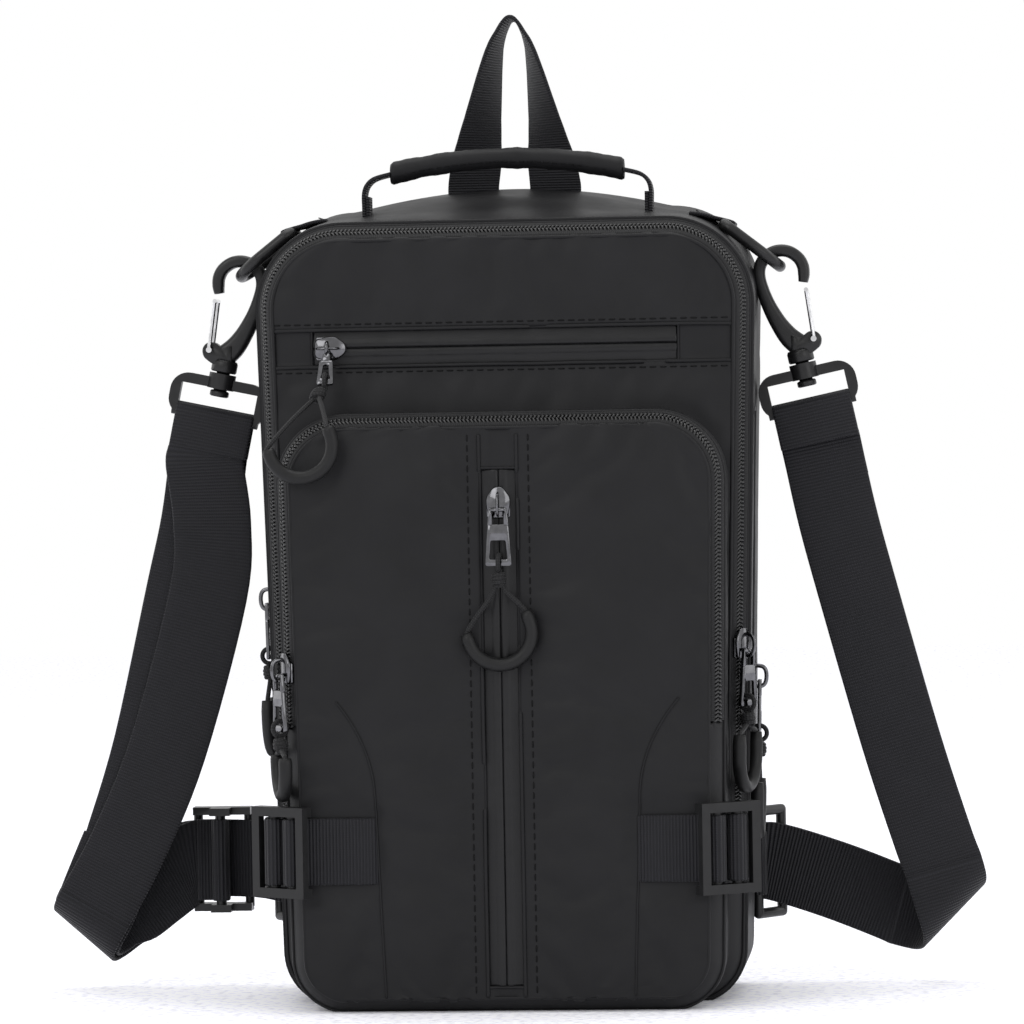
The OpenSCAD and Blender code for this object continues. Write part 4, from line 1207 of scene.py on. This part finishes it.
def tabs_and_cinches():
    """Webbing tabs of the D-rings and lower rings, and the two compression straps."""
    hinge, _ = joint_place("d_ring_right_tilt")
    middle = np.array([TOP_HALF - TOP_R, hinge[1], mix(FRONT_H, BACK_H, 0.49) - TOP_R])
    up = unit(hinge - middle)
    out = np.array([up[2], 0, -up[0]])
    lean = math.degrees(math.atan2(up[2], up[0]))

    def on_corner(degrees, lift):
        a = math.radians(degrees)
        return middle + (TOP_R + lift) * np.array([math.cos(a), 0, math.sin(a)])

    rows = []
    for degrees in (lean + 24, lean + 19, lean + 13, lean + 8):
        a = math.radians(degrees)
        rows.append([on_corner(degrees, 1.4 + 0.12 * (lean + 24 - degrees)),
                     (math.sin(a), 0, -math.cos(a)), BACK])
    for a in np.radians((60, 30, 0, -30, -60)):
        rows.append([hinge + 3.05 * (out * math.cos(a) + up * math.sin(a)),
                     out * math.sin(a) - up * math.cos(a), BACK])
    for degrees in (lean + 3, lean + 8):
        a = math.radians(degrees)
        rows.append([on_corner(degrees, 0.4), (-math.sin(a), 0, math.cos(a)), BACK])
    for side, word in SIDES:
        thread = Parts()
        tab = strap_piece("d_ring_tab_" + word, mirrored(rows, side), TAB_W, FINE_WEBBING)
        for degrees in (lean + 12, lean + 20):
            line = [(on_corner(degrees, 3.2) + (0, y, 0)) * (side, 1, 1)
                    for y in np.linspace(-7, 7, 12)]
            stitches(thread, line, 2.2, 0.9, 0.25)
        thread.piece("d_ring_tab_stitches_" + word, THREAD)
        if side > 0:
            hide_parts("corner_tabs")
    ring, _ = joint_place("lower_ring_right_turn")
    rows = [[ring + (d, 2.9, 0), ACROSS, UP] for d in (-12, -8, -4, -1)]
    for a in np.radians((70, 35, 0, -35, -70, -100)):
        rows.append([ring + (BAR_R * math.cos(a), BAR_R * math.sin(a), 0),
                     (math.sin(a), -math.cos(a), 0), UP])
    for side, word in SIDES:
        tab = strap_piece("lower_ring_tab_" + word, mirrored(rows, side), CINCH_W, FINE_WEBBING)
        if side > 0:
            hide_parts("lower_tabs")
    cinches()


CINCH_X, CINCH_Y, CINCH_Z, CINCH_TURN, BAR_GAP = 83, -57.5, 61, math.radians(35), 9


def buckle_place(u, v):
    """A place in the right buckle's own frame: along it and out of it."""
    c, s = math.cos(CINCH_TURN), math.sin(CINCH_TURN)
    return np.array([CINCH_X + u * c - v * s, CINCH_Y + u * s + v * c, CINCH_Z])


def cinches():
    """Compression straps: one from the front to each buckle's first bar, one from its second."""
    face = POCKET_Y - 1.1
    skin = mix(BASE_HALF, TOP_HALF, (CINCH_Z - BASE_R) / (FRONT_H - TOP_R - BASE_R)) + 0.85
    leaned = np.array([math.sin(LEAN), 0, math.cos(LEAN)])

    def at_height(*points):
        return [np.array([x, y, CINCH_Z]) for x, y in points]

    def around(u, r, angles):
        return [buckle_place(u + r * math.cos(a), r * math.sin(a)) for a in np.radians(angles)]

    for side, word in SIDES:
        parts = Parts()
        start = 50.2 if side > 0 else 47.4
        first = at_height((start, face + 0.9), (start + 4, face - 0.4), (66, face - 0.9))
        first.append(buckle_place(-BAR_GAP / 2 - 3, 3))
        first += around(-BAR_GAP / 2, 2.95, (80, 40, 0, -40, -90, -130, -180))
        second = [buckle_place(BAR_GAP / 2 - 2.4, 2.2)] + around(BAR_GAP / 2, 3.35, (110, 90))
        second.append(buckle_place(BAR_GAP / 2 + 7, 3.4))
        second += at_height((skin - 2.5, -36), (skin, -22), (skin, 6), (skin, 35))
        under = around(BAR_GAP / 2, 3.2, (150, 180, 220, 260, 300, 330))
        for points, tilt in ((first, False), (second, True), (under, False)):
            rows = []
            for i, p in enumerate(points):
                w = leaned if tilt and p[1] > -25 else UP
                rows.append([part * (side, 1, 1) for part in (p, along_at(points, i), w)])
            strip(parts, rows, CINCH_W)
        strap = parts.piece("compression_strap_" + word, WEBBING)
        if side > 0:
            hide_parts("cinch_straps")


shoulder_strap()
carry_loop()
handle()
tabs_and_cinches()


# ---------------------------------------------------------------- hard parts
def moulded(node, material, slot, bevel_mm, segments=3):
    """A hard part with its modelled shape, its edges rounded and its surfaces smooth."""
    sharp = math.radians(28)
    source = frame["nodes"][node]
    mesh = source.data.copy()
    mesh.transform(source.matrix_world)
    bm = bmesh.new()
    bm.from_mesh(mesh)
    bmesh.ops.remove_doubles(bm, verts=bm.verts, dist=2e-6)
    bmesh.ops.dissolve_limit(bm, angle_limit=math.radians(1), verts=bm.verts, edges=bm.edges)
    bm.to_mesh(mesh)
    bm.free()
    mesh.name = node + "_surface"
    mesh.materials.clear()
    mesh.materials.append(material)
    mesh.polygons.foreach_set("use_smooth", [True] * len(mesh.polygons))
    mesh.set_sharp_from_angle(angle=sharp)
    obj = bpy.data.objects.new(mesh.name, mesh)
    bpy.context.scene.collection.objects.link(obj)
    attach(obj, source["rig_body"])
    modifier(obj, "BEVEL", width=bevel_mm * MM, segments=segments, limit_method="ANGLE",
             angle_limit=sharp, harden_normals=True, use_clamp_overlap=True)
    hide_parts(node)
    return obj


class Local:
    """A slider's own frame: across, inward and up, with its hinge and its body side."""

    def __init__(self, slider, tab):
        row, column = slider.startswith("row"), slider.startswith("column")
        self.hinge, across = joint_place(tab + "_lift")
        run = ACROSS if row else unit(joint_place(slider + "_travel")[1])
        self.z = -run if run[2] < 0 else run
        x = -UP if row else across
        self.x = unit(x - np.dot(x, self.z) * self.z)
        self.y = np.cross(self.z, self.x)
        inward = BACK if row or column else np.array([0, 10, 150.0]) - self.hinge
        if np.dot(self.y, inward) < 0:
            self.x, self.y = -self.x, -self.y
        inset, rise = (7.3, 0) if row else (5.0, 2.0)
        self.origin = self.hinge + inset * self.y + rise * self.z

    def __call__(self, points, origin=None):
        p = np.atleast_2d(np.asarray(points, float))
        start = self.origin if origin is None else origin
        return start + p[:, :1] * self.x + p[:, 1:2] * self.y + p[:, 2:3] * self.z


def loft(parts, place, rings, origin=None):
    """A solid through equal rings of local points, closed at both ends."""
    rows, cols = len(rings), len(rings[0])
    parts.add(place(np.vstack(rings), origin), quads(rows, cols, False, True) + caps(rows, cols))


def plate(parts, place, shape, y0, y1, chamfer=0.25, origin=None):
    """A flat plate of an outline (x, z), from y0 to y1, with chamfered edges."""
    shape = np.asarray(shape, float)
    middle = shape.mean(0)
    small = middle + (shape - middle) * (1 - chamfer / np.abs(shape - middle).max())
    step = chamfer if y1 > y0 else -chamfer
    rings = []
    for y, s in ((y0, small), (y0 + step, shape), (y1 - step, shape), (y1, small)):
        rings.append(np.stack([s[:, 0], np.full(len(s), y), s[:, 1]], 1))
    loft(parts, place, rings, origin)


def framed(parts, place, outer, inner, y0, y1, chamfer=0.2, origin=None):
    """A flat frame between two outlines of equal count, closed on itself."""
    outer, inner = np.asarray(outer, float), np.asarray(inner, float)
    middle = inner.mean(0)
    out_small = middle + (outer - middle) * (1 - chamfer / np.abs(outer - middle).max())
    in_big = middle + (inner - middle) * (1 + chamfer / np.abs(inner - middle).max())
    section = [(outer, y0 + chamfer), (outer, y1 - chamfer), (out_small, y1), (in_big, y1),
               (inner, y1 - chamfer), (inner, y0 + chamfer), (in_big, y0), (out_small, y0)]
    verts = np.vstack([np.stack([s[:, 0], np.full(len(s), y), s[:, 1]], 1) for s, y in section])
    parts.add(place(verts, origin), quads(len(section), len(outer), True, True))


def rounded(points, r, per=5):
    """A polygon (x, z) with its corners rounded."""
    points = np.asarray(points, float)
    out = []
    for p, before, after in zip(points, np.roll(points, 1, 0), np.roll(points, -1, 0)):
        reach = min(r, np.linalg.norm(before - p) / 2.1, np.linalg.norm(after - p) / 2.1)
        start, end = p + unit(before - p) * reach, p + unit(after - p) * reach
        for t in np.linspace(0, 1, per):
            out.append((1 - t) ** 2 * start + 2 * t * (1 - t) * p + t * t * end)
    return np.array(out)


def slider(name, place):
    """Zip slider: domed shoulder plate, side lips, back plate, wedge and a bridge."""
    parts = Parts()
    top = rounded([(-3.2, -5.3), (3.2, -5.3), (4.4, -1.2), (4.6, 2.6), (1.7, 6.6), (-1.7, 6.6),
                   (-4.6, 2.6), (-4.4, -1.2)], 1.5)
    plate(parts, place, top, -3.1, -1.7, 0.45)
    for side in (-1, 1):
        lip = rounded([(side * 3.3, -5), (side * 4.3, -4.6), (side * 4.4, 2.6), (side * 3.5, 2.8)],
                      0.3, 3)
        plate(parts, place, lip, -1.8, -0.75, 0.12)
    plate(parts, place, rounded([(-0.35, 1.6), (0.35, 1.6), (0.35, 4.4), (-0.35, 4.4)], 0.2, 3),
          -1.8, 1.2, 0.05)
    plate(parts, place, rounded([(-2, -3.8), (2, -3.8), (2, 4.8), (-2, 4.8)], 0.7), 1.05, 1.9, 0.15)
    arch = [(0, -2.6, 3.9), (0, -4.2, 3.95), (0, -6.1, 3.6), (0, -7.2, 2.3), (0, -7.55, 0),
            (0, -7.2, -2.3), (0, -6.1, -3.6), (0, -4.2, -3.95), (0, -2.6, -3.9)]
    path = place(smooth_path(arch, 5))
    sweep(parts, path, [(a * 1.55, b) for a, b in ring_section(0.52, 10)], up=place.x)
    body = parts.piece(name + "_casting", METAL, name)
    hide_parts(name)


def pull_tab(name, place, ring, length):
    """Pull tab with a window for the cord, on a cross bar or a ring round the bridge."""
    parts, hinge = Parts(), place.hinge
    if ring:
        circle = [(0, 2.2 * math.cos(a), 2.2 * math.sin(a))
                  for a in np.linspace(0, 2 * math.pi, 28, endpoint=False)]
        sweep(parts, place(circle, hinge), ring_section(0.72, 10), True)
        plate(parts, place, rounded([(-1.3, -2.5), (1.3, -2.5), (1.5, -6.2), (-1.5, -6.2)], 0.4),
              -0.7, 0.7, 0.2, hinge)
    else:
        sweep(parts, place([(-3.1, 0, 0), (3.1, 0, 0)], hinge), ring_section(0.8, 12))
        for side in (-1, 1):
            arm = rounded([(side * 2.25, 0.75), (side * 3.3, 0.75), (side * 4, -6),
                           (side * 2.2, -6)], 0.4, 4)
            plate(parts, place, arm, -0.7, 0.7, 0.2, hinge)
    bottom, window = -length - 1.25, -length + min(8.25, length - 7.5)
    foot = 3.2 if ring else 5
    outer = rounded([(-foot * 0.78, -5.4), (foot * 0.78, -5.4), (foot, bottom), (-foot, bottom)],
                    1.1)
    inner = rounded([(2.2 - foot, window), (foot - 2.2, window), (foot - 1.7, 1.25 - length),
                     (1.7 - foot, 1.25 - length)], 0.7)
    framed(parts, place, outer, inner, -0.7, 0.7, 0.2, hinge)
    tab = parts.piece(name + "_plate", METAL, name)
    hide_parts(name)


def cord_parts(parts, path, radius=0.9):
    sweep(parts, np.asarray(path), ring_section(radius, 10))


def cord_knot(parts, middle, down, across):
    """A tight knot: turns of cord round the way the cord runs."""
    down, across = unit(down), unit(across)
    depth = np.cross(down, across)
    path = []
    for t in np.linspace(0, 1, 90):
        a = t * 2 * math.pi * 3.2
        r = 1.75 + 0.35 * math.sin(math.pi * t)
        path.append(middle + down * (t - 0.5) * 4.0
                    + r * (across * math.cos(a) + depth * math.sin(a)))
    cord_parts(parts, path, 0.92)
    cord_parts(parts, [middle - down * 3, middle, middle + down * 3], 1.35)


def grip(name, ends, bottom, depth):
    """Moulded rubber half ring with flush ends, from two ends round a bottom point."""
    a, b = (np.asarray(e, float) for e in ends)
    middle = (a + b) / 2
    across, down = (b - a) / 2, np.asarray(bottom, float) - middle
    reach = np.linalg.norm(across)
    leg = np.linalg.norm(down) - reach
    path = [a, a + unit(down) * leg * 0.5]
    for t in np.radians(np.linspace(0, 180, 33)):
        path.append(middle + unit(down) * (leg + reach * math.sin(t)) - across * math.cos(t))
    path += [b + unit(down) * leg * 0.5, b]
    count = len(path)
    scale = [0.86 if i in (0, count - 1) else 1.0 for i in range(count)]
    parts = Parts()
    sweep(parts, np.array(path), [(u * 0.98, v) for u, v in ring_section(2.6, 18)], up=depth,
          scale=scale)
    parts.piece(name + "_rubber_grip", RUBBER, name)


def cord_pull(name, place, bar, drop, twist, leg, tilt):
    """Cord loop through the tab, a knot, two legs and the grip they end in."""
    c, s, ct, st = math.cos(twist), math.sin(twist), math.cos(tilt), math.sin(tilt)
    spun = lambda p: place([(c * x - s * y, s * x + c * y, z) for x, y, z in p], bar)
    parts = Parts()
    circle = [(0, 2.9 * math.sin(a), 2.9 * math.cos(a))
              for a in np.linspace(math.pi, -math.pi, 32)]
    cord_parts(parts, place(circle, bar))
    cord_knot(parts, place((0, 0, -6.2), bar)[0], -place.z, place.x)
    low, ends = -6.6 - drop - leg, []
    for side in (-1, 1):
        end = (side * 12 * ct - leg * st, 0, low + side * 12 * st + leg * ct)
        fall = end[2] + 7.5
        path = [(side * 0.7, 0, -7.5), (end[0] * 0.28, 0, -7.5 + fall * 0.3),
                (end[0] * 0.74, 0, -7.5 + fall * 0.72), (end[0] * 0.97, 0, end[2] + 0.4),
                (end[0] + 2 * st, 0, end[2] - 2 * ct)]
        cord_parts(parts, spun(smooth_path(path, 6)))
        ends.append(end)
    cord = parts.piece(name + "_cord", CORD, name)
    depth = spun([(0, 1, 0)])[0] - spun([(0, 0, 0)])[0]
    grip(name, spun(ends), spun([(12 * st, 0, low - 12 * ct)])[0], depth)
    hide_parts(name)


def row_pull():
    """Pull of the horizontal zip: it rests over the pocket's edge with its grip in front."""
    bar, _ = joint_place("row_pull_swing")
    knot = bar + 6.6 * unit((-0.35, -0.55, -0.76))
    grip_low = np.array([-73, POCKET_Y - 8.4, 213.0])
    tilt = math.radians(20)
    right = np.array([math.cos(tilt), 0, math.sin(tilt)])
    up = np.array([-math.sin(tilt), 0, math.cos(tilt)])
    parts = Parts()
    around = np.linspace(0, 2 * math.pi, 32)
    cord_parts(parts, [bar + (0, 2.9 * math.sin(a), 2.9 * math.cos(a)) for a in around])
    cord_knot(parts, knot, knot - bar, ACROSS)
    ends = []
    for side in (-1, 1):
        end = grip_low + side * 12 * right + 3 * up
        middle = mix(knot, end, 0.5) + (0, -0.8, 1.2)
        cord_parts(parts, smooth_path([knot, middle, end + 0.6 * up, end - 1.5 * up], 8))
        ends.append(end)
    cord = parts.piece("row_pull_cord", CORD, "row_pull")
    grip("row_pull", ends, grip_low - 12 * up, BACK)
    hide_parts("row_pull")


TAB_REACH, ROW_TAB_REACH = 19.75, 15


def zip_hardware():
    """Sliders, tabs and pulls; each pull has a drop, a twist, a leg length and a grip tilt."""
    pulls = {"main": (5, 22, 8, 0), "column": (15.5, 0, 4, 20), "pocket": (4, -20, 2.5, 0),
             "side_left": (10, 0, 8, 0), "side_right": (11.5, 0, 8, 0)}
    for key, (drop, twist, leg, tilt) in pulls.items():
        side = key.split("_")[1] if "_" in key else ""
        names = [f"side_{part}_{side}" if side else f"{key}_{part}"
                 for part in ("slider", "tab", "pull")]
        place = Local(names[0], names[1])
        slider(names[0], place)
        pull_tab(names[1], place, False, TAB_REACH)
        cord_pull(names[2], place, place.hinge - TAB_REACH * place.z, drop,
                  math.radians(twist), leg, math.radians(tilt))
    place = Local("row_slider", "row_tab")
    slider("row_slider", place)
    hang = copy.copy(place)
    tilt = math.radians(32)
    hang.x = ACROSS
    hang.z = np.array([0, math.sin(tilt), math.cos(tilt)])
    hang.y = np.cross(hang.z, hang.x)
    pull_tab("row_tab", hang, True, ROW_TAB_REACH)
    row_pull()


CHANNELS = (70, 130, 190, 250)


def back_side():
    """Back panel with a rolled border, and the spacer-mesh pad quilted into channels."""
    def back(x, z, _):
        return BACK_HIGH[1] - 0.3 + 0.25 * crease(x, z, 9.4)

    obj, _ = panel("back_panel_fabric", dict(MAIN, height=BACK_H), 0.3, back, TRIM, (), 5.0)
    crown_up(obj)
    thicken(obj, 1.6, 0)
    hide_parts("back_panel")
    low, high = node_box("back_pad")
    thick, margin = high[1] - low[1], 12

    def channel_z(c, x):
        return c + 0.04 * abs(x)

    def pad(x, z, _=0):
        rim = min(half_width(MAIN, margin, z) - abs(x), z - margin, BACK_H - margin - z)
        edge = math.sqrt(min(max(rim, 0) / 7, 1))
        dip = sum(math.exp(-((z - channel_z(c, x)) / 2.6) ** 2) for c in CHANNELS)
        dip += math.exp(-(x / 2.6) ** 2)
        return low[1] + (thick - 0.5) * edge * (1 - 0.6 * min(dip, 1)) + 0.2 * crease(x, z, 4.4)

    cushion, border = panel("back_pad_mesh", dict(MAIN, height=BACK_H), margin, pad, MESH, (),
                            3.0)

    def hold(x, z, weight):
        stitched = abs(x) < 3 or any(abs(z - channel_z(c, x)) < 3 for c in CHANNELS)
        return 1 if stitched else weight

    sewn(cushion, border, hold, -1.2, 0.012, 1.0)
    crown_up(cushion)
    smoothed(cushion)
    thicken(cushion, 1.5, -1)
    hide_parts("back_pad")
    thread = Parts()
    for c in CHANNELS:
        line = [(x, channel_z(c, x)) for x in np.linspace(-78, 78, 180)]
        stitches(thread, [(x, pad(x, z) + 0.5, z) for x, z in line], 3.0, 1.4, 0.3)
    thread.piece("back_pad_stitches", THREAD)
    flat = outline(MAIN, margin, BACK_RISE, BACK_H)
    rim = Parts()
    ring = even(np.stack([flat[:, 0], np.full(len(flat), low[1] + 0.9), flat[:, 1]], 1), 300)
    sweep(rim, ring, [(u * 1.6, v) for u, v in ring_section(1.1, 8)], True, up=BACK)
    rim.piece("back_pad_binding", TRIM)


def crown_up(obj):
    """Bends a panel's top edge up into the back's crown."""
    top = MAIN["top"] - TOP_R
    for i, x, z in vertex_places(obj):
        t = min(abs(x) / top, 1)
        lift = BACK_RISE * (1 - t * t) * min(max((z - BACK_H + 60) / 60, 0), 1)
        obj.data.vertices[i].co[2] += lift * MM


def hook_casting(side, word):
    """Moulded snap hook: collar, gate lug, a spine that widens to its foot and a curled crown."""
    parts = Parts()

    def place(points, _):
        return np.array([hung(p, side) for p in points])

    collar = [(3.1, -2.7), (3.7, -2.3), (3.7, -0.7), (3.2, -0.3), (2.6, -0.2), (2.6, 6.8),
              (4.6, 6.9), (5, 7.4), (5, 10.6), (4.5, 11.6), (3.2, 11.8)]
    loft(parts, place, [[(r * math.cos(a), r * math.sin(a), z)
                         for a in np.linspace(0, 2 * math.pi, 32, endpoint=False)]
                        for r, z in collar])
    path = [(1.5, 12.2), (-2.4, 17), (-5.2, 23), (-7.3, 30), (-8.3, 36)]
    width = [9.0, 8.0, 6.6, 5.6, 5.0]
    crown_r, half_thick = 8.6, 3.5
    for a in np.radians((180, 150, 120, 90, 60, 30, 5, -18)):
        path.append((crown_r * math.cos(a), HOOK_EYE + crown_r * math.sin(a)))
        width.append(4.7)
    path.append((7.3, 36.6))
    width[-1:] = [4.5, 3.6]
    line = smooth_path([(x, 0, z) for x, z in path], 6)
    wide = np.interp(np.linspace(0, 1, len(line)), np.linspace(0, 1, len(width)), width)
    way = tangents(line)
    rings = []
    for p, t, w in zip(line, way, wide):
        n = np.array([-t[2], 0, t[0]])
        ring = []
        for q in np.linspace(0, 2 * math.pi, 28, endpoint=False):
            c, sn = math.cos(q), math.sin(q)
            across = math.copysign(abs(c) ** 0.6, c) * w / 2
            ring.append(p + n * across + BACK * math.copysign(abs(sn) ** 0.6, sn) * half_thick)
        rings.append(np.array(ring))
    loft(parts, place, rings[::-1])
    lug = rounded([(-3.6, 9.8), (4.2, 9.2), (8.6, 11.4), (9.6, 14.6), (8.2, 17.2), (5.2, 17.9),
                   (1.5, 15.8), (-2.4, 18.8)], 1.6)
    plate(parts, place, lug, -half_thick, half_thick, 0.7)
    casting = parts.piece("snap_hook_casting_" + word, PLASTIC, "snap_hook_" + word)
    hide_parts("snap_hook_" + word)


def hardware():
    for node, round_mm in (("d_ring_{}", 0.3), ("lower_ring_{}", 0.3), ("cinch_buckle_{}", 1.2),
                           ("strap_loop_{}", 0.6)):
        for _, word in SIDES:
            moulded(node.format(word), PLASTIC, "black_acetal", round_mm)
    for side, word in SIDES:
        hook_casting(side, word)
        moulded("hook_gate_" + word, STEEL, "gate_steel", 0.15, 2)
    moulded("tri_glide", PLASTIC, "black_acetal", 0.7)
    for node, material, slot in (("back_stiffener", BOARD, "stiffener"),
                                 ("divider_sleeve", LINING, "lining")):
        moulded(node, material, slot, 0.5, 2)


zip_hardware()
back_side()
hardware()


# ---------------------------------------------------------------- floor, lights and camera
def soft_light(name, place, aim, wide, tall, watts):
    data = bpy.data.lights.new(name, "AREA")
    data.shape, data.size, data.size_y = "RECTANGLE", wide, tall
    data.energy = watts
    lamp = bpy.data.objects.new(name, data)
    bpy.context.scene.collection.objects.link(lamp)
    lamp.location = place
    lamp.rotation_euler = (Vector(aim) - Vector(place)).to_track_quat("-Z", "Y").to_euler()


def studio():
    """Pale floor, soft lights and the camera at the picture's own viewpoint."""
    reach = 3000
    corners = [(-reach, -reach, 0), (reach, -reach, 0), (reach, reach, 0), (-reach, reach, 0)]
    pale = plain("pale_floor", 0.97, 0.9, Specular_IOR_Level=0.0)
    make("floor", corners, [(0, 1, 2, 3)], pale, body=None)
    lamps = (("key", (-0.9, -1.5, 1.3), 1.0, 1.0, 9), ("fill", (1.3, -1.3, 0.7), 0.9, 0.9, 5),
             ("top", (0.0, 0.1, 1.5), 0.9, 0.9, 6), ("left_rim", (-1.2, 0.5, 0.6), 0.5, 1.2, 2),
             ("right_rim", (1.2, 0.5, 0.6), 0.5, 1.2, 2))
    for name, place, wide, tall, watts in lamps:
        soft_light(name, place, (0, 0, 0.19), wide, tall, watts)
    world = bpy.data.worlds.new("studio")
    bpy.context.scene.world = world
    world.use_nodes = True
    backdrop = world.node_tree.nodes["Background"]
    backdrop.inputs["Color"].default_value = (1, 1, 1, 1)
    backdrop.inputs["Strength"].default_value = 1.0
    data = bpy.data.cameras.new("camera")
    camera = bpy.data.objects.new("camera", data)
    bpy.context.scene.collection.objects.link(camera)
    bpy.context.scene.camera = camera
    distance, view_width, look_z, sensor = 2.0, 0.393, 0.186, 36
    azimuth, elevation, roll = math.radians(5), math.radians(1), math.radians(1)
    data.sensor_width, data.lens = sensor, sensor * distance / view_width
    back = Vector((math.sin(azimuth) * math.cos(elevation),
                   -math.cos(azimuth) * math.cos(elevation), math.sin(elevation)))
    camera.location = Vector((0, 0, look_z)) + back * distance
    aim = (-back).to_track_quat("-Z", "Y")
    camera.rotation_mode = "QUATERNION"
    camera.rotation_quaternion = aim @ Quaternion((0, 0, 1), -roll)
    data.clip_start, data.clip_end = 0.05, 20


studio()
bpy.context.scene.view_settings.view_transform = "Standard"
